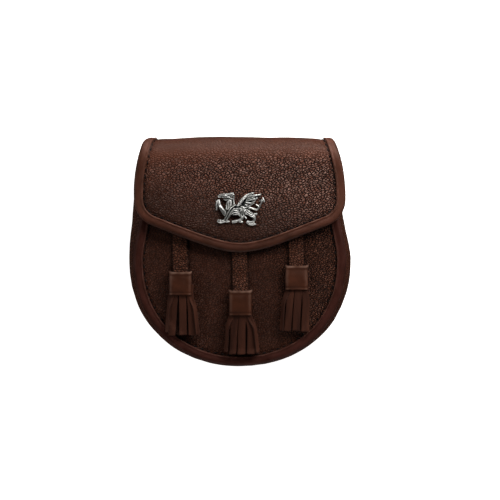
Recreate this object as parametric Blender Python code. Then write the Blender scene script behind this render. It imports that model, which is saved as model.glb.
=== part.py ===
"""Sporran pouch: a round leather day pouch lying on its back, built from leather walls and their fittings.

Metres. X runs to the right across the front, Y towards the rolled top edge and Z out of the front. The back
lies on z = 0 and the origin is under the middle of the pouch. A leather wall is a grid of points on its outer
face, or on its middle where both faces show, thickened by a modifier.
"""
import math
from collections import namedtuple

import bmesh
import bpy
import numpy as np
from mathutils import Matrix, Vector

MM = 0.001

# Leather thicknesses, and the gap that neighbouring pieces keep
PANEL = 1.8 * MM
GUSSET = 1.4 * MM
BINDING = 1.0 * MM
STRAP = 1.6 * MM
COLLAR = 1.4 * MM
TAB = 1.1 * MM
GAP = 0.3 * MM
LYING_GAP = 0.4 * MM          # under what lies on the domed front

# Outlines of the cut edges, seen from the front: an egg that is a superellipse below its widest line
WIDEST_Y = -7.0 * MM
ROUND = 2.13                  # exponent of the superellipse
TOP_Y = 76.0 * MM             # where the seams end and the roll begins
Outline = namedtuple("Outline", "half below taper_left reach_left taper_right reach_right")
FRONT_EDGE = Outline(87.5 * MM, 86.8 * MM, 12.0 * MM, 36.0 * MM, 12.0 * MM, 36.0 * MM)
BACK_EDGE = Outline(87.5 * MM, 86.8 * MM, 9.0 * MM, 42.0 * MM, 9.0 * MM, 42.0 * MM)
CREST = Outline(95.1 * MM, 91.1 * MM, 9.5 * MM, 60.0 * MM, 13.0 * MM, 37.0 * MM)

# Front panel
FRONT_Z = 37.0 * MM           # outer face at the seam
DOME = 7.2 * MM               # how far the middle stands above the seam
DOME_REACH_UP = 120.0 * MM    # height above the widest line at which the dome would end
BORDER = 7.5 * MM             # flat border that the bindings cover
DOME_INSET = 9.5 * MM         # the dome starts this far inside the edge

# D-rings and their tabs, which lift the upper back off the floor
RING_WIRE = 2.4 * MM
RING_HALF = 10.5 * MM         # half the bar's length
RING_DEPTH = 15.0 * MM
RING_X = 55.0 * MM
RING_Y = 62.0 * MM
RING_CORNER = 1.2 * MM        # cut off between the bar and the bow
TAB_HALF = 8.0 * MM
TAB_LENGTH = 26.0 * MM
BACK_RISE = 3 * GAP + 2 * TAB + RING_WIRE
RISE_FROM_Y = -10.0 * MM
RISE_TO_Y = 52.0 * MM
RIM_FADES_Y = (10.0 * MM, 50.0 * MM)

# Roll over the top, and the flap
ROLL_RADIUS = 22.1 * MM       # outer face, at the middle
ROLL_TIGHTER = 1.8 * MM       # less radius at ROLL_TIGHTER_X
ROLL_TIGHTER_X = 70.0 * MM
ROLL_LENGTH = math.pi * ROLL_RADIUS
WAIST = 77.0 * MM             # half-width of the leather at the top of the roll
FLAP_HALF = 86.2 * MM
FLAP_CORNER = 20.0 * MM
FLAP_TIP_Y = 2.5 * MM
FLAP_SLOPE = 0.43             # how steeply the slanted edges climb away from the tip
FLAP_TIP_ROUND = 25.0 * MM
FLAP_SIDE_FALL = 1.4 * MM

# Bindings: a strip folded over the edge
BIND_OUT = 2.8 * MM           # beyond the cut edges
BIND_IN = 5.2 * MM            # outer leg, inside the edge
SEAM_LEG = 4.0 * MM           # inner leg, over the gusset's flange
FLAP_LEG = 5.2 * MM
BIND_TURNS = 6

# Gusset
FLANGE = 5.0 * MM
FLANGE_TURN = 2.3 * MM
TONGUE = 6.0 * MM             # the open top end's middle stands this much above its seams
SEAM_STATIONS = 34
ROLL_ROWS = 12                # stations of 15 degrees over the roll
FLAP_EDGE_STATIONS = 13       # on each side, from the roll to the tip

# Tassels, in millimetres: the strap's middle and top, the collar's middle, top and height, the fringe's end
# and its two sides there
Tassel = namedtuple(
    "Tassel", "name strap_x strap_top collar_x collar_top collar_high end_y end_left end_right"
)
TASSELS_MM = (
    Tassel("left", -51.2, 30.0, -50.0, -16.9, 19.3, -70.5, -63.0, -33.8),
    Tassel("centre", -0.4, 10.0, 0.5, -32.5, 20.7, -86.4, -13.1, 16.7),
    Tassel("right", 47.0, 30.0, 47.8, -11.7, 20.1, -67.1, 33.3, 59.0),
)
TASSELS = tuple(Tassel(row.name, *(size * MM for size in row[1:])) for row in TASSELS_MM)
STRAP_WIDTH = 13.0 * MM
STRAP_TUCK = 8.0 * MM         # length of strap inside the collar
STRAP_LIFT = 14.0 * MM        # the strap climbs from this far above the collar
STRAP_LEVEL = 4.0 * MM        # to this far, where it is level with the collar's mouth
COLLAR_WIDTH = 19.2 * MM
COLLAR_THICK = 7.6 * MM
HEAD_WIDTH = 15.0 * MM        # the fringe's head inside the collar
HEAD_THICK = 3.7 * MM
HEAD_BELOW_STRAP = 2.0 * MM
FLARE_BELOW = 5.0 * MM        # the fringe has spread this far below the collar
FLARE_HALF = 9.4 * MM
FLARE_Z = (0.4 * MM, 6.4 * MM)     # lower and upper face there, above what it lies on
END_Z = (0.2 * MM, 5.2 * MM)       # and at the cut ends
SQUARE = 5.0                  # exponent of the rounded-square sections

# Hidden stud between the front panel and the flap
SNAP_Y = 20.0 * MM
SNAP_HEAD = 6.2 * MM
SNAP_NECK = 3.6 * MM

# Badge: a traditional dragon, facing left with a foreleg raised. Each limb is a row of (x, y, radius) in
# millimetres from the badge's middle, with the height of its centre line above the badge's flat back.
BADGE_X = 0.4 * MM
BADGE_Y = 36.0 * MM
BADGE_LIMBS = (
    ("upper jaw", 1.6, ((-19.5, 10.2, 0.6), (-17.4, 10.8, 0.9), (-14.0, 11.1, 1.1), (-7.3, 11.4, 1.7))),
    ("head", 1.9, ((-8.8, 11.2, 1.7), (-6.2, 11.5, 1.6), (-4.8, 12.3, 0.7))),
    ("lower jaw", 1.3, ((-13.3, 7.8, 0.6), (-11.4, 7.7, 0.8), (-6.9, 9.2, 1.5))),
    ("neck", 1.4, ((-6.9, 9.9, 1.8), (-7.9, 6.9, 2.4), (-8.6, 3.9, 2.8), (-8.8, -2.4, 3.2))),
    ("body", 1.6, ((-8.8, -2.8, 3.4), (-4.3, -2.1, 3.5), (3.9, -2.1, 3.2), (6.9, -2.8, 3.0))),
    ("shoulder", 1.5, ((-7.3, -0.9, 2.2), (-9.9, -4.7, 1.7), (-11.8, -7.9, 1.3))),
    ("forefoot", 1.5, ((-11.8, -7.9, 1.3), (-14.4, -9.9, 1.3), (-18.2, -10.1, 1.5))),
    ("fore heel", 0.9, ((-11.8, -9.6, 1.0), (-9.4, -10.8, 0.7))),
    ("raised leg", 1.2, ((-11.1, -5.4, 1.3), (-16.3, -1.3, 1.1), (-17.4, 1.7, 0.8), (-18.5, 6.9, 1.3))),
    ("claw", 0.9, ((-19.7, 6.9, 0.7), (-20.0, 3.6, 0.6), (-19.9, -1.5, 0.5))),
    ("middle leg", 1.4, ((-1.3, -3.9, 2.2), (0.7, -6.6, 1.8), (0.2, -8.8, 1.3))),
    ("middle foot", 1.4, ((0.2, -8.8, 1.3), (-2.4, -10.5, 1.1), (-6.6, -11.2, 1.3))),
    ("middle heel", 0.9, ((0.2, -9.6, 1.1), (1.7, -11.9, 0.7))),
    ("spur", 0.9, ((2.2, -4.7, 0.9), (5.1, -7.7, 0.6))),
    ("haunch", 1.4, ((6.2, -2.8, 2.8), (9.6, -4.7, 2.2), (11.2, -6.9, 1.5))),
    ("hind leg", 1.4, ((11.2, -6.9, 1.5), (10.7, -9.6, 1.1), (8.1, -11.4, 1.0))),
    ("hind claw", 0.9, ((8.1, -11.4, 1.0), (5.4, -10.4, 0.7))),
    ("hind foot", 0.9, ((7.7, -11.8, 1.0), (10.3, -12.5, 0.9), (13.1, -12.8, 0.6))),
    ("knob", 1.0, ((12.2, -3.9, 1.0), (13.9, -4.0, 0.7))),
    ("tail", 1.0, ((8.1, 0.6, 1.2), (11.4, 0.2, 1.0), (14.0, -0.4, 0.9), (15.7, 1.7, 0.9), (18.0, 6.2, 0.8))),
    ("barb", 0.8, ((18.8, 9.7, 0.4), (19.5, 7.7, 0.8), (20.6, 5.6, 0.4))),
    ("barb hook", 0.8, ((18.9, 7.7, 0.8), (17.0, 6.9, 0.6), (15.2, 6.5, 0.4))),
    ("wing root", 1.6, ((-3.9, 2.4, 0.9), (-1.3, 3.0, 1.1), (2.1, 7.5, 1.1))),
    ("wing arm", 1.6, ((2.1, 7.5, 1.1), (5.1, 10.5, 1.0), (11.2, 13.5, 0.5))),
    ("wing rib 1", 1.2, ((3.9, 7.7, 0.8), (9.6, 10.7, 0.7), (17.0, 12.1, 0.5))),
    ("wing rib 2", 1.2, ((4.5, 6.9, 0.8), (9.9, 8.8, 0.7), (14.4, 9.1, 0.5))),
    ("wing rib 3", 1.2, ((4.5, 5.6, 0.8), (9.2, 6.9, 0.7), (12.7, 7.5, 0.5))),
    ("wing rib 4", 1.2, ((3.9, 3.9, 0.8), (7.3, 4.9, 0.7), (9.9, 4.3, 0.5))),
    ("wing rib 5", 1.2, ((3.2, 2.4, 0.9), (6.2, 3.0, 0.7), (8.8, 2.7, 0.5))),
)
WING_SKIN = ((-1.3, 2.4), (3.2, 8.8), (7.7, 12.0), (11.1, 13.1), (12.9, 11.2), (16.9, 12.0), (14.6, 9.4),
             (14.0, 7.5), (11.8, 6.7), (10.7, 5.1), (9.2, 3.9), (6.2, 2.2), (3.2, 0.6), (0.2, 0.6))
WING_SKIN_THICK = 1.1 * MM
BADGE_VOXEL = 0.42 * MM
BADGE_KEEP = 0.06             # share of the remeshed faces that is kept

# Material: colour, roughness, metallic
FINISHES = {
    "flap_leather": ((0.056, 0.020, 0.013), 0.55, 0.0),
    "body_leather": ((0.033, 0.013, 0.009), 0.60, 0.0),
    "binding_leather": ((0.070, 0.024, 0.015), 0.42, 0.0),
    "strap_leather": ((0.050, 0.018, 0.012), 0.55, 0.0),
    "collar_leather": ((0.080, 0.028, 0.017), 0.40, 0.0),
    "fringe_leather": ((0.042, 0.016, 0.011), 0.60, 0.0),
    "pewter": ((0.420, 0.420, 0.410), 0.35, 1.0),
    "steel": ((0.500, 0.490, 0.470), 0.30, 1.0),
}


def smooth(low, high, value):
    """0 at low, 1 at high and a smooth step between them."""
    share = min(max((value - low) / (high - low), 0.0), 1.0)
    return share * share * (3.0 - 2.0 * share)


def finish(name):
    """The material of that name, made on first use."""
    if name in bpy.data.materials:
        return bpy.data.materials[name]
    colour, roughness, metallic = FINISHES[name]
    material = bpy.data.materials.new(name)
    material.use_nodes = True
    shader = material.node_tree.nodes["Principled BSDF"]
    shader.inputs["Base Color"].default_value = (*colour, 1.0)
    shader.inputs["Roughness"].default_value = roughness
    shader.inputs["Metallic"].default_value = metallic
    return material


def add_object(name, data, material):
    """Put a mesh or curve in the scene under a name."""
    obj = bpy.data.objects.new(name, data)
    bpy.context.scene.collection.objects.link(obj)
    data.materials.append(finish(material))
    return obj


def add_mesh(name, bm, material):
    """Turn a bmesh into a smooth-shaded object."""
    mesh = bpy.data.meshes.new(name)
    bm.to_mesh(mesh)
    bm.free()
    mesh.shade_smooth()
    mesh.set_sharp_from_angle(angle=math.radians(40))
    return add_object(name, mesh, material)


def route(points):
    """A function that walks a line of points evenly as its argument goes from 0 to 1."""
    points = np.array(points, float)
    steps = np.linalg.norm(np.diff(points, axis=0), axis=1)
    far = np.concatenate([[0.0], np.cumsum(steps)])
    return lambda share: np.array([np.interp(share * far[-1], far, column) for column in points.T])


def length(points):
    """Length of a line of points."""
    return float(np.linalg.norm(np.diff(np.array(points, float), axis=0), axis=1).sum())


def beside(line, share, out):
    """The point that lies out to the right of the line's direction at share."""
    step = 0.008
    ahead = line(min(share + step, 1.0)) - line(max(share - step, 0.0))
    ahead = ahead / np.linalg.norm(ahead)
    return line(share) + out * np.array([ahead[1], -ahead[0]])


def half_width(outline, y, left=False):
    """Half the width of an outline at a height, on one side."""
    up = y - WIDEST_Y
    if up < 0:
        return outline.half * max(1.0 - (-up / outline.below) ** ROUND, 0.0) ** (1.0 / ROUND)
    taper = outline.taper_left if left else outline.taper_right
    reach = outline.reach_left if left else outline.reach_right
    return outline.half - taper * up * up / (up * up + reach * reach)


def outline_points(outline):
    """Points from the outline's top left, down, round the bottom and up to just below the top right."""
    heights = np.linspace(TOP_Y, WIDEST_Y, 24, endpoint=False)
    left = [(-half_width(outline, y, left=True), y) for y in heights]
    right = [(half_width(outline, y), y) for y in heights[::-1]]
    low = []
    for angle in np.linspace(math.pi, 2.0 * math.pi, 97):
        across, down = math.cos(angle), math.sin(angle)
        low.append((
            outline.half * math.copysign(abs(across) ** (2.0 / ROUND), across),
            WIDEST_Y - outline.below * abs(down) ** (2.0 / ROUND),
        ))
    return left + low + right


FRONT_LINE = route(outline_points(FRONT_EDGE))
BACK_LINE = route(outline_points(BACK_EDGE))
CREST_LINE = route(outline_points(CREST))


def nearness(outline, inset, reach_up, x, y):
    """0 at the widest line's middle and 1 on a line that runs inset inside the outline."""
    up = y - WIDEST_Y
    half = half_width(outline, max(y, WIDEST_Y), left=x < 0) - inset
    reach = reach_up if up > 0 else outline.below - inset
    return ((abs(x) / half) ** ROUND + (abs(up) / reach) ** ROUND) ** (1.0 / ROUND)


def front_height(x, y):
    """Outer face of the front panel: flat under the binding and domed inside it."""
    near = min(nearness(FRONT_EDGE, DOME_INSET, DOME_REACH_UP, x, y), 1.0)
    return FRONT_Z + DOME * (1.0 - near ** 3) ** 1.6


def lying_height(x, y):
    """What a tassel lies on: the front panel, and the binding along its edge."""
    on_binding = smooth(0.94, 1.0, nearness(FRONT_EDGE, BORDER, DOME_REACH_UP, x, y))
    return front_height(x, y) + (BINDING + GAP) * on_binding + LYING_GAP


def back_rise(y):
    """How far the back panel's middle is off the floor: flat below, and lifted by the ring tabs above."""
    return BACK_RISE * smooth(RISE_FROM_Y, RISE_TO_Y, y)


def rim_lift(y):
    """How far the back panel's edge stands above its middle, to leave room for the binding under it."""
    return (BINDING + GAP) * (1.0 - smooth(*RIM_FADES_Y, y))


def back_height(x, y):
    """Outer face of the back panel, which is the one that lies on the floor."""
    near = nearness(BACK_EDGE, BORDER, 1.0, x, y)
    return back_rise(y) + rim_lift(y) * smooth(0.86, 0.96, near)


def back_edge_height(y):
    """Outer face of the back panel along its seam."""
    return back_rise(y) + rim_lift(y)


def leather_point(x, along):
    """Where a point of the flat-cut back and flap lies once the leather is rolled over the top.

    Up to TOP_Y the pattern's length is Y on the back. Past the roll it runs down the front.
    """
    if along <= TOP_Y:
        return Vector((x, along, back_height(x, along)))
    radius = ROLL_RADIUS - ROLL_TIGHTER * (x / ROLL_TIGHTER_X) ** 2
    base = back_edge_height(TOP_Y)
    if along < TOP_Y + ROLL_LENGTH:
        turn = math.pi * (along - TOP_Y) / ROLL_LENGTH
        return Vector((x, TOP_Y + radius * math.sin(turn), base + radius * (1.0 - math.cos(turn))))
    y = 2.0 * TOP_Y + ROLL_LENGTH - along
    fall = FLAP_SIDE_FALL * (abs(x) / FLAP_HALF) ** 4 * smooth(0.0, 30.0 * MM, TOP_Y - y)
    return Vector((x, y, base + 2.0 * radius - fall))


def leather_outward(x, along):
    """Outward direction of the leather at a point of the pattern."""
    step = 0.2 * MM
    across = leather_point(x + step, along) - leather_point(x - step, along)
    down = leather_point(x, along + step) - leather_point(x, along - step)
    return down.cross(across).normalized()


def flap_half(along):
    """Half-width of the pattern from the roll's start to the flap's corners: narrowest over the top."""
    top = TOP_Y + ROLL_LENGTH / 2
    if along < top:
        start = half_width(BACK_EDGE, TOP_Y)
        return start + (WAIST - start) * smooth(TOP_Y, top, along)
    reach = TOP_Y + ROLL_LENGTH + TOP_Y - corner_centre()[1] - top
    return WAIST + (FLAP_HALF - WAIST) * smooth(0.0, 1.0, min((along - top) / reach, 1.0) ** 0.9)


def slanted_edge(x):
    """Y of the flap's lower edge."""
    return FLAP_TIP_Y + FLAP_SLOPE * (math.hypot(x, FLAP_TIP_ROUND) - FLAP_TIP_ROUND)


def corner_centre():
    """Centre of the right corner's arc, and the angle of the slanted edge where the arc meets it."""
    centre_x, slant = FLAP_HALF - FLAP_CORNER, 0.0
    for _ in range(4):
        meet_x = centre_x + FLAP_CORNER * math.sin(slant)
        slant = math.atan(FLAP_SLOPE * meet_x / math.hypot(meet_x, FLAP_TIP_ROUND))
    return centre_x, slanted_edge(meet_x) + FLAP_CORNER * math.cos(slant), slant


def on_pattern(x, y):
    """A point of the flap, given by its height on the front, as a point of the pattern."""
    return x, 2.0 * TOP_Y + ROLL_LENGTH - y


def right_edge_points():
    """The pattern's right edge from the roll's start to the tip, and which point is the corner's middle."""
    centre_x, centre_y, slant = corner_centre()
    start, stop = TOP_Y, on_pattern(0.0, centre_y)[1]
    points = [(flap_half(along), along) for along in np.linspace(start, stop, 40, endpoint=False)]
    turns = np.linspace(0.0, math.pi / 2 - slant, 9)
    middle = len(points) + len(turns) // 2
    points += [
        on_pattern(centre_x + FLAP_CORNER * math.cos(turn), centre_y - FLAP_CORNER * math.sin(turn))
        for turn in turns
    ]
    meet_x = centre_x + FLAP_CORNER * math.sin(slant)
    points += [on_pattern(x, slanted_edge(x)) for x in np.linspace(meet_x, 0.0, 24)[1:]]
    return points, middle


def mirrored(points):
    """The same points on the other side."""
    return [(-x, along) for x, along in points]


def patch(low, high, left, right):
    """A function of (across, along) from 0 to 1 that fills the space between four edge lines."""
    def at(across, along):
        upright = (1 - along) * low(across) + along * high(across)
        level = (1 - across) * left(along) + across * right(along)
        low_corners = (1 - across) * low(0) + across * low(1)
        high_corners = (1 - across) * high(0) + across * high(1)
        return upright + level - (1 - along) * low_corners - along * high_corners
    return at


def spaced(cells, first=None, last=None):
    """Shares from 0 to 1 in even cells, but with the first or last cell of a given share."""
    inner = np.linspace(first or 0.0, 1.0 - (last or 0.0), cells + 1 - bool(first) - bool(last))
    return np.concatenate([[0.0] if first else [], inner, [1.0] if last else []])


def sheet(name, columns, rows, place, wall, material, flip=False, centred=False):
    """A leather wall: a grid whose points place(column, row) sets, thickened inwards or about its middle."""
    bm = bmesh.new()
    bmesh.ops.create_grid(bm, x_segments=columns, y_segments=rows, size=0.5)
    for vert in bm.verts:
        vert.co = place(round((vert.co.x + 0.5) * columns), round((vert.co.y + 0.5) * rows))
    if flip:
        bmesh.ops.reverse_faces(bm, faces=bm.faces)
    obj = add_mesh(name, bm, material)
    solidify = obj.modifiers.new("Wall", "SOLIDIFY")
    solidify.thickness = wall
    solidify.offset = 0.0 if centred else -1.0
    solidify.use_even_offset = True
    return obj


def drum(name, sides, levels, place, material, capped=True):
    """A drum, or an open tube if uncapped, whose points place(angle, level) sets; level is 0 to levels."""
    bm = bmesh.new()
    bmesh.ops.create_cone(bm, cap_ends=capped, segments=sides, radius1=1.0, radius2=1.0, depth=1.0)
    uprights = [edge for edge in bm.edges if abs(edge.verts[0].co.z - edge.verts[1].co.z) > 0.5]
    if levels > 1:
        bmesh.ops.subdivide_edges(bm, edges=uprights, cuts=levels - 1, use_grid_fill=True)
    for vert in bm.verts:
        vert.co = place(math.atan2(vert.co.y, vert.co.x), round((vert.co.z + 0.5) * levels))
    if capped:
        bmesh.ops.recalc_face_normals(bm, faces=bm.faces)
    return add_mesh(name, bm, material)


def rounded_square(angle):
    """A point of a rounded square that reaches 1 each way."""
    across, up = math.cos(angle), math.sin(angle)
    size = (abs(across) ** SQUARE + abs(up) ** SQUARE) ** (-1.0 / SQUARE)
    return across * size, up * size


def build_back_and_flap():
    """The back, the roll over the top and the flap, cut as one piece."""
    columns = 14
    across = spaced(columns, BORDER / (2 * BACK_EDGE.half), BORDER / (2 * BACK_EDGE.half))
    outline = outline_points(BACK_EDGE)
    low_left = next(i for i, (x, y) in enumerate(outline) if y < WIDEST_Y - 0.70 * BACK_EDGE.below)
    low_right = len(outline) - 1 - low_left
    edge, corner = right_edge_points()
    roll_end = next(i for i, (x, along) in enumerate(edge) if along >= TOP_Y + ROLL_LENGTH)
    top_half, roll_half = half_width(BACK_EDGE, TOP_Y), edge[roll_end][0]
    back_side = outline[low_right:] + [(top_half, TOP_Y)]
    flap_side = [(roll_half, TOP_Y + ROLL_LENGTH)] + edge[roll_end + 1:corner + 1]
    flap_low = mirrored(edge[corner:]) + edge[corner:-1][::-1]
    fold = route([(-top_half, TOP_Y), (top_half, TOP_Y)])
    roll = route([(-roll_half, TOP_Y + ROLL_LENGTH), (roll_half, TOP_Y + ROLL_LENGTH)])
    back = patch(route(outline[low_left:low_right + 1]), fold, route(mirrored(back_side)), route(back_side))
    flap = patch(roll, route(flap_low), route(mirrored(flap_side)), route(flap_side))
    back_rows = spaced(13, first=BORDER / (TOP_Y + 90 * MM))
    roll_rows = np.linspace(0.0, 1.0, ROLL_ROWS + 1)[1:]
    flap_rows = spaced(7, last=BORDER / TOP_Y)[1:]

    def place(column, row):
        if row < len(back_rows):
            return leather_point(*back(across[column], back_rows[row]))
        row -= len(back_rows)
        if row < len(roll_rows):
            along = TOP_Y + ROLL_LENGTH * roll_rows[row]
            return leather_point((2.0 * across[column] - 1.0) * flap_half(along), along)
        return leather_point(*flap(across[column], flap_rows[row - len(roll_rows)]))

    rows = len(back_rows) + len(roll_rows) + len(flap_rows) - 1
    return sheet("back_and_flap", columns, rows, place, PANEL, "flap_leather", flip=True)


def build_front_panel():
    """The round front, with a straight upper edge under the flap."""
    columns, rows = 14, 13
    outline = outline_points(FRONT_EDGE) + [(half_width(FRONT_EDGE, TOP_Y), TOP_Y)]
    low_left = next(i for i, (x, y) in enumerate(outline) if y < WIDEST_Y - 0.70 * FRONT_EDGE.below)
    low_right = len(outline) - 2 - low_left
    side = outline[low_right:]
    top = route([(-side[-1][0], TOP_Y), side[-1]])
    front = patch(route(outline[low_left:low_right + 1]), top, route(mirrored(side)), route(side))
    across = spaced(columns, BORDER / (2 * FRONT_EDGE.half), BORDER / (2 * FRONT_EDGE.half))
    along = spaced(rows, first=BORDER / (TOP_Y + 90 * MM))

    def place(column, row):
        x, y = front(across[column], along[row])
        return Vector((x, y, front_height(x, y)))

    return sheet("front_panel", columns, rows, place, PANEL, "body_leather")


def gusset_side(line, share, face_z, up):
    """The gusset's section from one seam's edge to where it swells out, as points in space.

    It lies under the panel as a flange, turns back under the binding and heads outwards.
    """
    flange = PANEL + GAP + GUSSET / 2
    section = [(0.0, flange)]
    for turn in np.linspace(0.0, math.pi, 4):
        depth = flange + FLANGE_TURN * (1.0 - math.cos(turn))
        section.append((-FLANGE - FLANGE_TURN * math.sin(turn), depth))
    return [Vector((*beside(line, share, out), face_z - up * depth)) for out, depth in section]


def build_gusset():
    """The strip round the sides and bottom, sewn to both panels and swelling out between them."""
    swell = (math.radians(30), math.radians(60))

    def section(share):
        front = gusset_side(FRONT_LINE, share, FRONT_Z, 1)
        back_z = back_edge_height(BACK_LINE(share)[1])
        back = gusset_side(BACK_LINE, share, back_z, -1)
        crest = Vector((*beside(CREST_LINE, share, -GUSSET / 2), (FRONT_Z + back_z) / 2))
        for side in (front, back):
            start = side[-1]
            for turn in swell:
                flat = start.lerp(crest, math.sin(turn))
                flat.z = start.z + (crest.z - start.z) * (1.0 - math.cos(turn))
                side.append(flat)
        points = front + [crest] + back[::-1]
        end = max(0.0, 1.0 - min(share, 1.0 - share) * SEAM_STATIONS)
        free = len(points) - 1 - 2 * 4
        for i in range(free):
            points[4 + i].y += TONGUE * end * math.sin(math.pi * i / free) ** 2
        return points

    sections = [section(station / SEAM_STATIONS) for station in range(SEAM_STATIONS + 1)]
    columns = len(sections[0]) - 1
    return sheet("gusset", columns, SEAM_STATIONS, lambda column, row: sections[row][column], GUSSET,
                 "body_leather", centred=True)


def binding_section(stack, inner_leg):
    """Middle line of a binding folded over a stack of leather: (outside the edge, above the outer face)."""
    above = GAP + BINDING / 2
    radius = above + stack / 2
    centre = BIND_OUT - BINDING / 2 - radius
    bend = [
        (centre + radius * math.sin(turn), -stack / 2 + radius * math.cos(turn))
        for turn in np.linspace(0.0, math.pi, BIND_TURNS + 1)
    ]
    return [(-BIND_IN, above), *bend, (-inner_leg, -stack - above)]


def build_seam_binding(name, line, face_height, up):
    """A binding over the edges of a panel and the gusset, from one top end round to the other."""
    section = binding_section(PANEL + GAP + GUSSET, SEAM_LEG)

    def place(column, row):
        share = row / SEAM_STATIONS
        out, above = section[column]
        return Vector((*beside(line, share, out), face_height(line(share)[1]) + up * above))

    return sheet(name, len(section) - 1, SEAM_STATIONS, place, BINDING, "binding_leather",
                 flip=up < 0, centred=True)


def build_flap_binding():
    """The binding round the flap, over the roll at both sides and down to the back's binding."""
    section = binding_section(PANEL, FLAP_LEG)
    edge, _ = right_edge_points()
    edge[0] = (edge[0][0], TOP_Y + 2 * GAP)
    line = route(mirrored(edge) + edge[:-1][::-1])
    roll = next(i for i, (x, along) in enumerate(edge) if along >= TOP_Y + ROLL_LENGTH)
    roll_share = length(edge[:roll + 1]) / length(edge) / 2
    over_roll = list(np.linspace(0.0, roll_share, ROLL_ROWS, endpoint=False))
    half = over_roll + list(np.linspace(roll_share, 0.5, FLAP_EDGE_STATIONS + 1))
    stations = half + [1.0 - share for share in half[:-1][::-1]]

    def place(column, row):
        out, above = section[column]
        point = beside(line, stations[row], -out)
        return leather_point(*point) + above * leather_outward(*point)

    return sheet("flap_binding", len(section) - 1, len(stations) - 1, place, BINDING, "binding_leather",
                 centred=True)


def build_strap(tassel):
    """A strap that lies on the front, from under the flap into its collar."""
    rows = 10
    end = tassel.collar_top - STRAP_TUCK

    def place(column, row):
        y = tassel.strap_top + (end - tassel.strap_top) * row / rows
        middle = tassel.strap_x + (tassel.collar_x - tassel.strap_x) * smooth(tassel.strap_top, end, y)
        x = middle + STRAP_WIDTH * (column / 2 - 0.5)
        climb = 1.0 - smooth(STRAP_LEVEL, STRAP_LIFT, y - tassel.collar_top)
        return Vector((x, y, lying_height(x, y) + (COLLAR + 1.5 * GAP) * climb))

    return sheet(f"tassel_strap_{tassel.name}", 2, rows, place, STRAP, "strap_leather")


def build_collar(tassel):
    """Leather rolled round the strap's end and the fringe's head."""
    def place(angle, level):
        across, up = rounded_square(angle)
        x = tassel.collar_x + across * COLLAR_WIDTH / 2
        y = tassel.collar_top - tassel.collar_high * level / 2
        return Vector((x, y, lying_height(x, y) + (1.0 + up) * COLLAR_THICK / 2))

    obj = drum(f"tassel_collar_{tassel.name}", 20, 2, place, "collar_leather", capped=False)
    solidify = obj.modifiers.new("Wall", "SOLIDIFY")
    solidify.thickness = COLLAR
    solidify.offset = -1.0
    solidify.use_even_offset = True
    return obj


def build_fringe(tassel):
    """Outer form of the cut fringe: a head in the collar and a skirt that spreads over the front."""
    bottom = tassel.collar_top - tassel.collar_high
    head_top = tassel.collar_top - STRAP_TUCK - HEAD_BELOW_STRAP
    middle, head_low = tassel.collar_x, COLLAR + GAP
    head = (middle - HEAD_WIDTH / 2, middle + HEAD_WIDTH / 2, head_low, head_low + HEAD_THICK)
    flare = (middle - FLARE_HALF, middle + FLARE_HALF, *FLARE_Z)
    end = (tassel.end_left, tassel.end_right, *END_Z)
    half_way = tuple((a + b) / 2 for a, b in zip(flare, end))
    flare_y = bottom - FLARE_BELOW
    levels = (
        (head_top, head),
        (bottom - GAP, head),
        (flare_y, flare),
        ((flare_y + tassel.end_y) / 2, half_way),
        (tassel.end_y, end),
    )

    def place(angle, level):
        y, (left, right, low, high) = levels[level]
        across, up = rounded_square(angle)
        x = (left + right) / 2 + across * (right - left) / 2
        return Vector((x, y, lying_height(x, y) + low + (1.0 + up) * (high - low) / 2))

    return drum(f"tassel_fringe_{tassel.name}", 14, len(levels) - 1, place, "fringe_leather")


def build_snap():
    """The closing stud: a socket on the front, a neck and a cap under the flap, as one piece."""
    low = front_height(0.0, SNAP_Y) + GAP
    high = leather_point(*on_pattern(0.0, SNAP_Y)).z - PANEL - GAP
    third = (high - low) / 3
    socket = [(SNAP_HEAD, low), (SNAP_HEAD, low + third)]
    cap = [(SNAP_HEAD, high - third), (SNAP_HEAD, high)]
    profile = [*socket, (SNAP_NECK, low + third), (SNAP_NECK, high - third), *cap]

    def place(angle, level):
        radius, z = profile[level]
        return Vector((radius * math.cos(angle), SNAP_Y + radius * math.sin(angle), z))

    return drum("flap_snap", 16, len(profile) - 1, place, "steel")


def build_ring_tab(name, side):
    """A leather strip folded round a ring's bar and sewn to the back."""
    loop = RING_WIRE / 2 + GAP + TAB / 2
    upper = BACK_RISE - GAP - TAB / 2
    lower = upper - TAB - GAP
    section = [(RING_X - TAB_LENGTH, upper), (RING_X, upper)]
    section += [
        (RING_X + loop * math.sin(turn), upper - loop * (1.0 - math.cos(turn)))
        for turn in np.linspace(0.0, math.pi, 6)[1:]
    ]
    section.append((RING_X - TAB_LENGTH, lower))

    def place(column, row):
        x, z = section[column]
        return Vector((side * x, RING_Y + TAB_HALF * (2 * row - 1), z))

    return sheet(name, len(section) - 1, 1, place, TAB, "strap_leather", centred=True)


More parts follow.
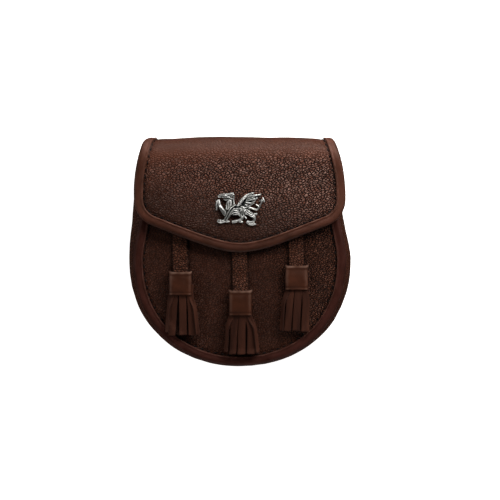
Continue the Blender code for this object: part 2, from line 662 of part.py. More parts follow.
def build_ring(name, side):
    """A D-ring whose bar lies in its tab and whose bow drops to the floor."""
    bow = [
        (RING_DEPTH * math.cos(turn) ** 0.8, RING_HALF * math.sin(turn))
        for turn in np.linspace(-math.radians(84), math.radians(84), 15)
    ]
    bar_end = RING_HALF - RING_CORNER
    points = [(0.0, -bar_end), *bow, (0.0, bar_end), (0.0, 0.0)]
    curve = bpy.data.curves.new(name, "CURVE")
    curve.dimensions = "3D"
    curve.bevel_depth = RING_WIRE / 2
    curve.bevel_resolution = 1
    spline = curve.splines.new("POLY")
    spline.points.add(len(points) - 1)
    spline.use_cyclic_u = True
    for spot, (x, y) in zip(spline.points, points):
        spot.co = (x, y, 0.0, 1.0)
    ring = add_object(name, curve, "steel")
    bar_z = TAB + GAP + RING_WIRE / 2
    droop = math.asin((bar_z - RING_WIRE / 2) / RING_DEPTH)
    facing = 0.0 if side > 0 else math.pi
    ring.location = (side * RING_X, RING_Y, bar_z)
    ring.rotation_euler = (0.0, droop, facing)
    ring.rotation_mode = "XYZ"
    return ring


def add_capsule(bm, start, end):
    """A rod between two (centre, radius) balls, tapering from one to the other."""
    (low, low_radius), (high, high_radius) = start, end
    for centre, radius in (start, end):
        bmesh.ops.create_icosphere(bm, subdivisions=2, radius=radius, matrix=Matrix.Translation(centre))
    axis = high - low
    turn = axis.to_track_quat("Z", "Y").to_matrix().to_4x4()
    bmesh.ops.create_cone(bm, cap_ends=True, segments=12, radius1=low_radius, radius2=high_radius,
                          depth=axis.length, matrix=Matrix.Translation((low + high) / 2) @ turn)


def build_badge():
    """The cast dragon: limbs and a wing, flat behind, merged into one body."""
    bm = bmesh.new()
    for _, height, points in BADGE_LIMBS:
        balls = [(Vector((x, y, height)) * MM, radius * MM) for x, y, radius in points]
        for start, end in zip(balls, balls[1:]):
            add_capsule(bm, start, end)
    skin = bm.faces.new([bm.verts.new((x * MM, y * MM, 0.0)) for x, y in WING_SKIN])
    lifted = bmesh.ops.extrude_face_region(bm, geom=[skin])["geom"]
    for vert in lifted:
        if isinstance(vert, bmesh.types.BMVert):
            vert.co.z = WING_SKIN_THICK
    for vert in bm.verts:
        vert.co.z = max(vert.co.z, 0.0)
    base = leather_point(*on_pattern(BADGE_X, BADGE_Y)).z + GAP
    badge = add_mesh("dragon_badge", bm, "pewter")
    badge.location = (BADGE_X, BADGE_Y, base)
    merge = badge.modifiers.new("Cast", "REMESH")
    merge.mode = "VOXEL"
    merge.voxel_size = BADGE_VOXEL
    thin = badge.modifiers.new("Fewer faces", "DECIMATE")
    thin.ratio = BADGE_KEEP
    return badge


def main():
    for obj in list(bpy.data.objects):
        bpy.data.objects.remove(obj, do_unlink=True)
    build_back_and_flap()
    build_front_panel()
    build_gusset()
    build_seam_binding("front_binding", FRONT_LINE, lambda y: FRONT_Z, 1)
    build_seam_binding("back_binding", BACK_LINE, back_edge_height, -1)
    build_flap_binding()
    for tassel in TASSELS:
        build_strap(tassel)
        build_collar(tassel)
        build_fringe(tassel)
    build_snap()
    build_badge()
    for name, side in (("left", -1), ("right", 1)):
        build_ring_tab(f"ring_tab_{name}", side)
        build_ring(f"ring_{name}", side)


main()
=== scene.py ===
"""Sporran pouch: the finished look of a round leather day pouch lying on its back, under soft studio light.

Metres. X runs to the right across the front, Y towards the rolled top edge and Z out of the front. The back
lies on z = 0. A leather wall is a grid laid out by a few shape functions, with its own pattern, in metres
along the leather, as a UV map, so that grain and creases follow the hide.
"""

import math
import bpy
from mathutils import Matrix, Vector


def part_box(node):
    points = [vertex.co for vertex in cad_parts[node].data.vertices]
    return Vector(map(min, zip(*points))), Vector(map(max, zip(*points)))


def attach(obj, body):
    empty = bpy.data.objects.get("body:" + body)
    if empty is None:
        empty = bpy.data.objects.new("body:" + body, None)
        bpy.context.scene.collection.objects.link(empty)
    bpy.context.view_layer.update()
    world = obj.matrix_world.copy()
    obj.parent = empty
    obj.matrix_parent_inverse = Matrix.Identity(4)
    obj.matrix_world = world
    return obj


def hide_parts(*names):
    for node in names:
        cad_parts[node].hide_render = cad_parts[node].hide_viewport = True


bl_info = {
    "name": "Sporran Pouch",
    "version": (1, 0, 0),
    "blender": (4, 5, 0),
    "location": "3D View > Sidebar > Sporran",
    "description": "Builds a round leather sporran pouch with its bindings, tassels, badge and stage",
    "category": "Add Mesh",
}

from collections import namedtuple
from functools import cache

import bmesh
import bpy
import numpy as np
from bpy.props import FloatProperty, FloatVectorProperty, PointerProperty
from mathutils import Matrix, Vector
from mathutils.kdtree import KDTree

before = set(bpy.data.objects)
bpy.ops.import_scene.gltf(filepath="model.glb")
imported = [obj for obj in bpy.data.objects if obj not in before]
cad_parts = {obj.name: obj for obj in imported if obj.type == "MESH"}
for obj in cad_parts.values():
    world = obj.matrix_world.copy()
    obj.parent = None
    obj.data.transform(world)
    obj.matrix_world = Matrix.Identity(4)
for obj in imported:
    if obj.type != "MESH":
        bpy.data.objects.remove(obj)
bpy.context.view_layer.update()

MM = 0.001
PATTERN = "Pattern"           # UV map: metres along the leather
GRAIN = "grain"               # attribute: how strongly the pebble grain shows, in its relief, its painted crease shade and its painted tip highlights
WEAR_AND_PAINTED_LIGHT = "wear"                 # attribute: how far rubbing and painted highlights paled the leather, or, below 0, dye, painted shade and painted shadow darkened it
HOLLOW = "hollow"             # attribute: how deep a spot of the casting lies between its neighbours

# Leather thicknesses, and the gap that neighbouring pieces keep
PANEL = 1.8 * MM
GUSSET = 1.4 * MM
BINDING = 1.0 * MM
STRAP = 1.6 * MM
COLLAR = 1.4 * MM
TAB = 1.1 * MM
GAP = 0.3 * MM
LYING_GAP = 0.4 * MM          # under what lies on the domed front

# Outlines of the cut edges, seen from the front: an egg that is a superellipse below its widest line
WIDEST_Y = -7.0 * MM
ROUND = 2.13                  # exponent of the superellipse
TOP_Y = 76.0 * MM             # where the seams end and the roll begins
Outline = namedtuple("Outline", "half below taper_left reach_left taper_right reach_right")
FRONT_EDGE = Outline(87.5 * MM, 86.8 * MM, 12.0 * MM, 36.0 * MM, 12.0 * MM, 36.0 * MM)
BACK_EDGE = Outline(87.5 * MM, 86.8 * MM, 9.0 * MM, 42.0 * MM, 9.0 * MM, 42.0 * MM)
CREST = Outline(95.1 * MM, 91.1 * MM, 9.5 * MM, 60.0 * MM, 13.0 * MM, 37.0 * MM)

# Front panel
FRONT_Z = 37.0 * MM           # outer face at the seam
DOME = 7.2 * MM               # how far the middle stands above the seam
DOME_REACH_UP = 120.0 * MM    # height above the widest line at which the dome would end
BORDER = 7.5 * MM             # flat border that the bindings cover
BORDER_LINES = tuple(line * MM for line in (0.0, 2.4, 4.2, 4.8, 5.3, 5.8, 6.3, 6.9, 7.7, 8.8))
DOME_INSET = 9.5 * MM         # the dome starts this far inside the edge
PANEL_HIGH = TOP_Y + 90.0 * MM                 # about a panel's height
FRONT_STEP = 1.5 * MM         # spacing of the front panel's grid
BACK_STEP = 2.6 * MM          # and of the back's, the roll's and the flap's, along the pattern and across it
ROLL_STEP = 1.25 * MM
FLAP_STEP = 1.35 * MM
ACROSS_STEP = 1.45 * MM
GUSSET_STATIONS = 351         # grid rows along the gusset, a seam's binding and the flap's binding
SEAM_STATIONS = 421
FLAP_STATIONS = 621

# D-rings and their tabs, which lift the upper back off the floor
RING_WIRE = 2.4 * MM
RING_HALF = 10.5 * MM         # half the bar's length
RING_DEPTH = 15.0 * MM
RING_X = 55.0 * MM
RING_Y = 62.0 * MM
RING_CORNER = 1.2 * MM        # cut off between the bar and the bow
TAB_HALF = 8.0 * MM
TAB_LENGTH = 26.0 * MM
TAB_SEAM_END = 2.2 * MM       # the tab's stitches, from its cut ends, from the ring and from its sides
TAB_SEAM_RING = 3.4 * MM
TAB_SEAM_SIDE = 1.8 * MM
BACK_RISE = 3 * GAP + 2 * TAB + RING_WIRE
RISE_FROM_Y = -10.0 * MM
RISE_TO_Y = 52.0 * MM
RIM_FADES_Y = (10.0 * MM, 50.0 * MM)

# Roll over the top, and the flap
ROLL_RADIUS = 22.1 * MM       # outer face, at the middle
ROLL_TIGHTER = 1.8 * MM       # less radius at ROLL_TIGHTER_X
ROLL_TIGHTER_X = 70.0 * MM
ROLL_LENGTH = math.pi * ROLL_RADIUS
WAIST = 77.0 * MM             # half-width of the leather at the top of the roll
FLAP_HALF = 86.2 * MM
FLAP_CORNER = 20.0 * MM
FLAP_TIP_Y = 2.5 * MM
FLAP_SLOPE = 0.43             # how steeply the slanted edges climb away from the tip
FLAP_TIP_ROUND = 25.0 * MM
FLAP_SIDE_FALL = 1.4 * MM
LEFT_SLUMP = 1.6 * MM         # the roll's left end has slumped outwards this far
RIGHT_SLUMP = 0.9 * MM        # and the flap's right side this far
LEFT_PINCH = 3.0 * MM         # at the very top both ends are drawn in, which rounds the corners
RIGHT_PINCH = 1.2 * MM
ROLL_DYE = 0.48               # wear: the stretched leather of the roll took this much more dye
LOW_FLAP_SHADE = 0.66                # painted shade: the lower flap is darkened this much, more towards its left
BACK_GRAIN = 0.8              # how strongly the grain shows on the back

# Bindings: a strip folded over the edge, and the seam beside it
BIND_OUT = 2.8 * MM           # beyond the cut edges
BIND_IN = 5.2 * MM            # outer leg, inside the edge
SEAM_LEG = 4.0 * MM           # inner leg, over the gusset's flange
FLAP_LEG = 5.2 * MM
NOSE_ROUND = 0.45 * MM        # rounding of the strip's cut edges
NOSE_DROP = 0.35 * MM         # the inner edge is pulled down into the leather
RIDGE = (0.34 * MM, 0.85 * MM, 0.55 * MM)      # relief: height, distance from the inner edge, width
DIP = (-0.16 * MM, 2.1 * MM, 0.8 * MM)
CROWN = (0.30 * MM, 4.9 * MM, 2.2 * MM)
SEAM_IN = BIND_IN + 1.15 * MM                  # the stitches, inside the cut edge
SEAM_DIP = 0.42 * MM                           # the leather sinks this far under them
SEAM_DIP_WIDE = 0.75 * MM
PRESSED = 0.22 * MM                            # and this far beside them, fading inwards
PRESSED_TO = 11.0 * MM
SEAM_GROOVE_SHADE = (-0.40, BIND_IN + 0.35 * MM, 0.60 * MM)      # painted shade: the groove beside the binding is darkened
RIDGE_HIGHLIGHT = (0.75, 0.70 * MM, 0.50 * MM)                   # painted highlight along the ridge of the binding
STRAP_SIDE_SHADE = (-0.55, 0.5 * MM, 1.3 * MM)                 # painted shade: the front is darkened beside a strap
FOLD_SHADE = (-0.45, 8.6 * MM, 2.6 * MM)                  # painted shade on the binding's fold over the edge
PUFF = 0.09 * MM              # the binding swells this much between stitches
WAVER = 0.12 * MM             # and wanders this much along its edge
SEAM_RIDGE_LIGHT = 0.45           # how strong the painted highlight on a seam binding's ridge is
SEW_FROM, SEW_TO = 0.004, 0.996                           # shares of a seam where its stitches start and end
SEAM_POINTS, FLAP_POINTS = 900, 1200                      # points along the paths of the stitches
STITCH_SUNK = 0.28            # share of the thread by which a stitch stands out of its groove

# Grain: the pebbles' direction, their shape, and the pale colour of rubbing and of painted highlights
PEBBLE_TURN = math.radians(28)
PEBBLE_SHAPE = (0.62, 1.0, 1.0)
ROW_SHAPE = (0.50, 1.0, 1.0)  # pebbles stand in short rows, tall in some and low in others
PALED_AND_LIT = "#8a6a5b"
SHINE_TINT = "#ffe4d6"        # dyed leather shines a little in its own brown

# Sizes of the other patterns. Those marked coarse would be too fine to show in the render at their real size
HIDE_CLOUDS = 22.0 * MM       # cloudy dye over a hide
STRIP_CLOUDS = 9.0 * MM       # and along a smooth strip
STRIP_CREASES = 1.6 * MM
PORES = 0.8 * MM              # coarse: pores of smooth leather
SUEDE_NAP = 0.5 * MM          # coarse: nap of the flesh side
EDGE_NAP = 0.35 * MM          # coarse: and of a cut edge
PLIES = 2.4 * MM              # coarse: plies of the thread
FIBRES = 0.5 * MM             # coarse: and the fibres in them
GRIT = 0.55 * MM              # coarse: what the mould's sand left on the casting
RUB_MARKS = 0.3 * MM          # coarse: fine scratches in the nickel
HAZE = 4.0 * MM               # clouds where the nickel has dulled

# Gusset
FLANGE = 5.0 * MM
FLANGE_TURN = 2.3 * MM
TONGUE = 6.0 * MM             # the open top end's middle stands this much above its seams
END_DRAWN_IN = 1.8 * MM       # and its crest is drawn in this much
TONGUE_SHARE = 1 / 34         # share of the gusset's length over which it rises
FLANGE_COLUMNS = 10           # grid columns of one flange, which the swell leaves out
FOLD_DEPTH = 0.18 * MM        # small folds where the leather is eased round the curve
SAG_DEPTH = 0.3 * MM          # and broad soft hollows
GUSSET_GRAIN = 0.6

# Tassels, in millimetres: the strap's middle and top, the collar's middle, top and height, the fringe's end
# and its two sides there
Tassel = namedtuple(
    "Tassel", "name strap_x strap_top collar_x collar_top collar_high end_y end_left end_right"
)
TASSELS_MM = (
    Tassel("left", -51.2, 30.0, -50.0, -16.9, 19.3, -70.5, -63.0, -33.8),
    Tassel("centre", -0.4, 10.0, 0.5, -32.5, 20.7, -86.4, -13.1, 16.7),
    Tassel("right", 47.0, 30.0, 47.8, -11.7, 20.1, -67.1, 33.3, 59.0),
)
TASSELS = tuple(Tassel(row.name, *(size * MM for size in row[1:])) for row in TASSELS_MM)
STRAP_WIDTH = 13.0 * MM
STRAP_TUCK = 8.0 * MM         # length of strap inside the collar
STRAP_LIFT = 14.0 * MM        # the strap climbs from this far above the collar
STRAP_LEVEL = 4.0 * MM        # to this far, where it is level with the collar's mouth
STRAP_CROWN = 0.35 * MM       # its sides are pressed down this much
STRAP_SLACK = 0.12 * MM       # and its face wanders this much
COLLAR_WIDTH = 19.2 * MM
COLLAR_THICK = 7.6 * MM
COLLAR_SLACK = 0.22 * MM      # its face wanders this much
COLLAR_EARS = 1.3 * MM        # the corners of its mouth stand up this much
COLLAR_TURNS = 97             # points round a collar
COLLAR_ROWS = (0.0, 0.02, 0.045, 0.075, 0.11, *np.linspace(0.16, 0.84, 18), 0.88, 0.905, 0.93, 0.96, 1.0)
SQUARE = 5.0                  # exponent of the rounded-square sections
# Relief, and the painted highlight and shade, of a collar, in (height, place, width): from its mouth, from
# its lower end and across it
MOUTH_RELIEF = ((0.30 * MM, 0.0, 1.5 * MM), (-0.10 * MM, 2.8 * MM, 1.2 * MM))
END_RELIEF = (-0.12 * MM, 2.1 * MM, 0.5 * MM)
MOUTH_HIGHLIGHT = (0.95, 0.7 * MM, 1.0 * MM)
UNDER_MOUTH_SHADE = (-0.35, 2.6 * MM, 0.7 * MM)
END_SHADE_AND_HIGHLIGHT = ((-0.35, 2.1 * MM, 0.5 * MM), (0.22, 1.0 * MM, 0.6 * MM))
SIDE_HIGHLIGHT_AND_SHADE = ((0.22, 0.84, 0.15), (-0.40, 1.0, 0.06))

# The strands that show on top of each fringe, in millimetres: their middle at the collar, just below it and
# at the cut end, their width at both ends, how far short of the fringe's end they stop, and their lean in
# degrees
Strand = namedtuple("Strand", "top flare end wide_top wide_end short lean")
FRONT_STRANDS_MM = {
    "left": (
        Strand(-57.2, -59.6, -61.3, 5.2, 5.4, 3.0, 62),
        Strand(-54.6, -55.4, -57.3, 6.0, 6.1, 0.0, 4),
        Strand(-48.1, -48.1, -47.8, 5.9, 6.5, 0.5, -2),
        Strand(-41.8, -41.2, -40.1, 5.7, 6.3, 0.2, -7),
        Strand(-41.5, -38.9, -35.6, 4.4, 5.0, 0.8, -48),
    ),
    "centre": (
        Strand(-6.6, -10.2, -11.7, 5.0, 5.6, 2.2, 64),
        Strand(-4.0, -4.5, -6.0, 6.0, 5.8, 0.2, 5),
        Strand(2.2, 2.0, 1.1, 6.2, 6.5, 0.0, 2),
        Strand(7.0, 9.3, 9.6, 5.9, 6.5, 0.3, -6),
        Strand(7.4, 11.6, 14.8, 4.8, 5.0, 1.8, -58),
    ),
    "right": (
        Strand(40.6, 37.3, 34.9, 4.6, 5.0, 1.2, 64),
        Strand(43.2, 42.3, 40.2, 5.8, 5.9, 0.6, 6),
        Strand(49.4, 48.8, 47.4, 6.3, 6.0, 0.8, 1),
        Strand(54.6, 55.9, 55.2, 5.7, 6.9, 0.0, -6),
    ),
}
LOWER_STRANDS = 4             # in each of the two lower layers
LAYER_SHIFT = 0.2             # the second layer is moved this share of a strand
# Each layer's heights at the collar, just below it and at the end
LAYERS_MM = ((2.3, 1.2, 0.9), (3.7, 3.2, 2.55), (5.1, 5.35, 4.4))
STRAND_TUCK = 9.0 * MM        # length of a strand inside the collar
STRAND_SWAY = 0.22 * MM       # how far it sways sideways, curls at its end, cups across, and is cut askew
STRAND_CURL = 0.35 * MM
STRAND_CUP = 0.12 * MM
STRAND_ASKEW = 0.5 * MM

# Hidden stud between the front panel and the flap
SNAP_Y = 20.0 * MM

# Badge: a traditional dragon, facing left with a foreleg raised. Each limb is a row of (x, y, radius) in
# millimetres from the badge's middle, with the height of its centre line above the badge's flat back.
BADGE_X = 0.4 * MM
BADGE_Y = 36.0 * MM
BADGE_LIMBS = (
    ("upper jaw", 1.5, ((-18.8, 10.6, 0.9), (-15.4, 11.2, 1.6), (-12.0, 11.1, 1.9), (-8.6, 11.4, 2.0),
                        (-5.2, 12.5, 1.2))),
    ("lower jaw", 1.2, ((-13.9, 8.1, 0.6), (-11.7, 7.5, 1.2), (-9.3, 8.3, 1.8))),
    ("neck", 1.2, ((-8.1, 9.4, 2.0), (-8.7, 5.9, 2.4), (-9.3, 2.9, 2.6), (-9.6, -0.7, 3.0))),
    ("shoulder", 1.0, ((-9.0, -0.8, 2.0), (-6.6, 0.8, 1.9), (-4.6, 1.9, 1.4), (-2.4, 2.0, 1.1),
                       (1.5, 1.6, 1.1), (4.0, 0.8, 1.0))),
    ("mane", 1.1, ((-5.3, 11.6, 0.6), (-5.7, 8.3, 0.7), (-5.6, 5.9, 0.7), (-5.1, 3.0, 0.9))),
    ("body", 1.1, ((-9.6, -1.9, 2.9), (-5.7, -2.4, 3.2), (-0.9, -1.9, 3.3), (3.3, -2.2, 2.8),
                   (7.5, -3.1, 2.3))),
    ("foreleg", 1.4, ((-6.9, 0.5, 1.5), (-9.0, -3.1, 2.3), (-10.8, -6.7, 1.8), (-12.6, -9.4, 1.4))),
    ("forefoot", 1.2, ((-11.4, -9.2, 1.3), (-14.7, -10.6, 1.4), (-17.7, -10.3, 1.8), (-19.2, -9.6, 1.0))),
    ("fore heel", 0.9, ((-12.3, -10.4, 1.0), (-8.7, -10.6, 0.5))),
    ("raised leg", 1.3, ((-11.7, -5.0, 2.0), (-14.7, -1.3, 1.8), (-17.1, 2.3, 1.4), (-18.2, 5.3, 1.6),
                         (-18.3, 7.8, 1.2))),
    ("claw", 1.0, ((-19.7, 6.8, 0.7), (-19.5, 2.9, 0.8), (-19.8, -1.2, 0.5))),
    ("middle leg", 1.2, ((0.2, -4.4, 2.0), (1.9, -7.0, 1.5), (0.6, -8.8, 1.3), (-2.7, -10.0, 1.2),
                         (-6.9, -10.9, 1.3))),
    ("middle heel", 0.9, ((-0.6, -10.4, 1.0), (2.2, -11.1, 0.8))),
    ("spur", 0.9, ((1.8, -4.4, 0.6), (5.2, -8.1, 0.8))),
    ("haunch", 1.2, ((4.8, -1.6, 1.9), (8.1, -4.0, 2.4), (11.1, -6.1, 1.8))),
    ("hind leg", 1.2, ((10.8, -5.4, 1.7), (12.5, -8.2, 1.3), (11.0, -10.6, 1.2), (8.1, -11.4, 1.1),
                       (5.6, -10.4, 1.2))),
    ("hind foot", 0.9, ((5.3, -10.6, 1.1), (7.2, -12.6, 1.1), (10.4, -13.0, 1.1), (13.3, -12.6, 0.7))),
    ("knob", 1.0, ((11.4, -4.4, 0.8), (14.3, -4.0, 0.9))),
    ("tail", 1.0, ((7.0, 1.2, 0.9), (10.8, 0.2, 0.9), (13.8, -0.9, 0.9), (15.9, 1.1, 0.9),
                   (16.8, 3.5, 0.8), (18.5, 6.6, 0.8))),
    ("tail curl", 0.9, ((13.0, 4.2, 0.5), (13.9, 2.6, 0.8), (15.9, 2.0, 0.8))),
    ("barb", 0.9, ((19.0, 9.8, 0.4), (19.1, 7.4, 1.1), (20.6, 5.5, 0.4))),
    ("barb hook", 0.9, ((19.0, 7.4, 0.9), (15.5, 6.3, 0.4))),
    ("wing arm", 1.7, ((-4.8, 2.5, 0.9), (-2.1, 2.2, 1.1), (-0.3, 4.7, 1.4), (1.8, 7.7, 1.5),
                       (4.5, 10.9, 1.0),
                       (7.8, 12.5, 0.7), (11.4, 13.7, 0.45))),
    ("wing rib 1", 1.3, ((4.2, 8.9, 0.8), (8.1, 11.2, 0.7), (12.3, 11.2, 0.65), (17.6, 12.1, 0.5))),
    ("wing rib 2", 1.2, ((4.8, 7.9, 0.7), (8.7, 9.3, 0.65), (12.0, 9.9, 0.5))),
    ("wing rib 3", 1.3, ((4.8, 6.9, 0.8), (9.0, 7.6, 0.8), (14.3, 8.9, 0.7))),
    ("wing rib 4", 1.2, ((4.5, 5.6, 0.7), (8.1, 4.3, 0.7), (10.5, 5.6, 0.65), (12.6, 6.7, 0.5))),
    ("wing rib 5", 1.1, ((3.9, 3.1, 0.8), (7.2, 4.2, 0.6))),
    ("wing rib 6", 1.2, ((4.2, 0.9, 0.8), (8.7, 2.6, 0.7), (11.4, 5.2, 0.5))),
)
WING_SKIN = (
    (-2.4, 1.6), (1.2, 7.4), (4.8, 10.8), (8.0, 12.3), (11.0, 13.2), (12.2, 11.4), (17.0, 11.9), (13.8, 9.6),
    (14.2, 8.4), (12.2, 6.3), (10.5, 4.1), (8.7, 1.9), (6.0, 0.4), (2.0, -0.4),
)
WING_SKIN_THICK = 1.1
# Raised lines along the limbs: height, half-width and points in millimetres
BADGE_LINES = (
    ("back", 0.85, 0.40, ((-1.6, 2.9), (-4.3, 3.2), (-7.0, 1.5), (-8.9, -0.8), (-10.6, -4.0),
                          (-12.2, -7.1), (-13.6, -9.3))),
    ("shoulder", 0.70, 0.34, ((-4.6, 0.6), (-7.4, -1.6), (-8.8, -4.4), (-10.2, -7.1), (-11.2, -9.4))),
    ("upper rib", 0.60, 0.34, ((-7.2, -2.8), (-5.6, -1.5), (-4.0, -1.4), (-2.3, -1.9))),
    ("lower rib", 0.60, 0.34, ((-7.8, -4.4), (-5.6, -3.1), (-2.3, -3.2), (-0.6, -3.9))),
    ("belly", 0.50, 0.32, ((-6.9, -5.9), (-5.6, -4.8), (-3.0, -4.5), (-0.6, -5.2))),
    ("curl", 0.65, 0.32, ((-1.0, -2.6), (-1.7, -1.2), (-0.4, 0.1), (1.2, 0.0), (1.4, -1.5), (0.2, -1.9))),
    ("loin", 0.50, 0.30, ((2.0, 1.9), (2.9, 0.4), (4.4, -0.4))),
    ("flank", 0.45, 0.30, ((3.4, -2.0), (2.6, -3.6), (2.9, -5.4), (1.8, -7.0))),
    ("feather 1", 0.60, 0.32, ((4.3, -0.8), (5.2, -2.5), (8.0, -4.4), (11.6, -5.6))),
    ("feather 2", 0.60, 0.32, ((5.6, -0.6), (7.6, -2.6), (10.4, -3.9), (12.0, -4.4))),
    ("feather 3", 0.50, 0.30, ((7.2, -0.9), (9.6, -1.9), (12.6, -3.1))),
    ("feather 4", 0.45, 0.30, ((4.4, -3.4), (6.6, -5.0), (9.3, -6.3), (11.4, -7.0))),
    ("tail ridge", 0.45, 0.30, ((8.4, 0.8), (11.1, 0.2), (13.7, -0.5), (15.5, 1.1), (16.8, 3.5),
                                (18.3, 6.6))),
    ("throat", 0.50, 0.32, ((-10.8, 5.9), (-11.5, 2.9), (-11.7, -0.1), (-11.0, -2.0))),
    ("neck 1", 0.40, 0.26, ((-9.6, 6.3), (-10.1, 2.9), (-10.2, -0.1))),
    ("neck 2", 0.40, 0.26, ((-7.9, 5.0), (-8.7, 1.7), (-8.3, -0.3))),
    ("shin", 0.50, 0.32, ((-17.3, 2.3), (-15.0, 0.0), (-12.3, -2.8))),
    ("outer shin", 0.45, 0.30, ((-18.3, 0.2), (-15.9, -2.8), (-13.2, -5.8))),
    ("brow", 0.45, 0.34, ((-18.2, 11.6), (-15.0, 12.5), (-11.7, 12.4), (-8.6, 12.9), (-5.6, 13.3))),
    ("lip", 0.45, 0.30, ((-18.6, 9.8), (-16.0, 9.7), (-13.2, 9.5), (-10.0, 9.9), (-8.0, 9.2))),
    ("eye", 0.45, 0.45, ((-12.6, 11.3), (-12.3, 11.2))),
    ("ear", 0.45, 0.35, ((-7.2, 10.6), (-5.8, 12.0), (-4.6, 12.2))),
    ("paw", 0.45, 0.30, ((-18.9, -9.2), (-15.9, -9.3), (-13.5, -10.0))),
    ("middle foot", 0.50, 0.30, ((-6.6, -10.2), (-2.7, -9.4), (0.4, -8.4), (1.5, -7.0), (0.6, -5.2))),
    ("hind shin", 0.50, 0.30, ((12.3, -5.6), (12.0, -8.6), (9.9, -10.6), (6.9, -10.7), (5.3, -9.9))),
    ("hind sole", 0.40, 0.28, ((6.0, -11.0), (8.4, -12.8), (13.2, -12.2))),
    ("arm edge", 0.45, 0.30, ((-0.9, 2.9), (1.2, 5.4), (2.9, 8.0), (5.1, 10.2))),
)
# Cut lines, the same way
BADGE_CUTS = (
    ("toes", 0.50, 0.26, ((-19.0, -10.4), (-16.8, -10.7), (-14.4, -11.0))),
    ("middle toes", 0.45, 0.24, ((-7.2, -11.3), (-4.5, -10.8), (-1.2, -10.2))),
    ("hind toes", 0.40, 0.22, ((6.6, -11.6), (9.0, -11.9), (12.0, -11.9))),
    ("mouth", 0.60, 0.28, ((-17.4, 10.5), (-14.4, 10.7), (-12.0, 10.4), (-9.6, 11.0))),
    ("jaw", 0.70, 0.36, ((-12.6, 8.9), (-9.9, 8.8), (-7.4, 7.4))),
    ("behind the neck", 1.6, 0.40, ((-6.6, 7.4), (-6.5, 5.7), (-6.4, 4.0))),
    ("elbow", 0.60, 0.34, ((-11.6, -2.4), (-11.4, -4.4), (-12.4, -6.4))),
    ("loin hollow", 0.50, 0.34, ((2.4, -3.0), (2.6, -1.6), (2.3, -0.4))),
    ("back groove", 0.55, 0.28, ((-3.6, 2.2), (-6.2, 0.6), (-8.1, -1.6), (-9.6, -4.6), (-11.2, -7.6))),
    ("under the wing", 0.60, 0.32, ((-1.6, 1.6), (0.6, 2.4), (2.6, 5.0), (3.6, 7.2))),
    ("wing 1", 0.60, 0.28, ((4.8, 8.5), (8.4, 10.2), (12.0, 10.7))),
    ("wing 2", 0.60, 0.28, ((5.1, 7.4), (8.7, 8.4), (12.6, 9.2))),
    ("wing 3", 0.70, 0.32, ((5.1, 6.2), (8.4, 5.8), (12.0, 7.3))),
    ("wing 4", 0.60, 0.30, ((4.8, 4.2), (7.2, 3.2), (9.9, 4.4))),
)
ARM_BARS = 10                 # short raised bars across the wing's arm, this tall
ARM_BAR_TALL = 0.35 * MM
BADGE_TALL = 5.0 * MM         # the casting's tallest parts are pressed down towards this
BADGE_VOXEL = 0.17 * MM
HOLLOW_DEPTH = 0.7 * MM       # from its neighbours' level, which so many rounds of averaging give
HOLLOW_ROUNDS = 90
WING_ARM_MM = ((-1.8, 3.0), (-0.3, 4.7), (1.8, 7.7), (4.5, 10.9))    # where those bars cross it

# Stage: each softbox's name, place and size, in metres
SOFTBOXES = (
    ("key", (0.30, 0.52, 0.46), (0.60, 0.22)),
    ("rim", (0.15, 0.95, 0.16), (1.40, 0.20)),
    ("left", (-0.95, 0.25, 0.52), (0.5, 0.5)),
    ("right", (0.95, 0.35, 0.56), (0.5, 0.5)),
    ("fill", (0.0, -0.95, 0.24), (1.2, 0.3)),
)
CAMERA_X, CAMERA_Y = 0.00856, 0.0016
FLOOR_Z = -0.0002             # just under the lowest points of the back


def linear(hex_colour):
    """An sRGB hex colour as linear red, green and blue."""
    parts = [int(hex_colour[i:i + 2], 16) / 255 for i in (1, 3, 5)]
    return tuple(part / 12.92 if part <= 0.04045 else ((part + 0.055) / 1.055) ** 2.4 for part in parts)


def length_property(name, description, millimetres, least=0.0):
    """A length, with its default and least value in millimetres."""
    return FloatProperty(
        name=name, description=description, default=millimetres * MM, min=least * MM, unit="LENGTH",
    )


def power_property(name, description, watts):
    """The power of a light."""
    return FloatProperty(name=name, description=description, default=watts, unit="POWER")


def colour_property(name, description, hex_colour):
    """A colour, with its default in sRGB hex."""
    return FloatVectorProperty(
        name=name, description=description, default=linear(hex_colour), min=0.0, max=1.0, size=3,
        subtype="COLOR",
    )


class SporranSizes(bpy.types.PropertyGroup):
    """Sizes of the leatherwork that a maker would choose."""

    stitch_pitch: length_property("Stitch pitch", "Distance from one stitch to the next", 6.0, 2.0)
    stitch_length: length_property("Stitch length", "Length of thread that shows at each stitch", 3.2, 1.0)
    thread: length_property("Thread", "Thickness of the sewing thread", 1.0, 0.2)
    grain: length_property("Pebble size", "Distance between the pebbles of the grain", 1.7, 0.3)
    grain_depth: length_property("Grain depth", "Depth of the creases between the pebbles", 0.85)
    unevenness: length_property("Unevenness", "How far the soft panels wander from their plain shape", 0.45)
    edge_round: length_property("Edge rounding", "Rounding of the cut edges", 0.25)
    strand: length_property("Strand thickness", "Thickness of the fringe's leather", 1.3, 0.5)


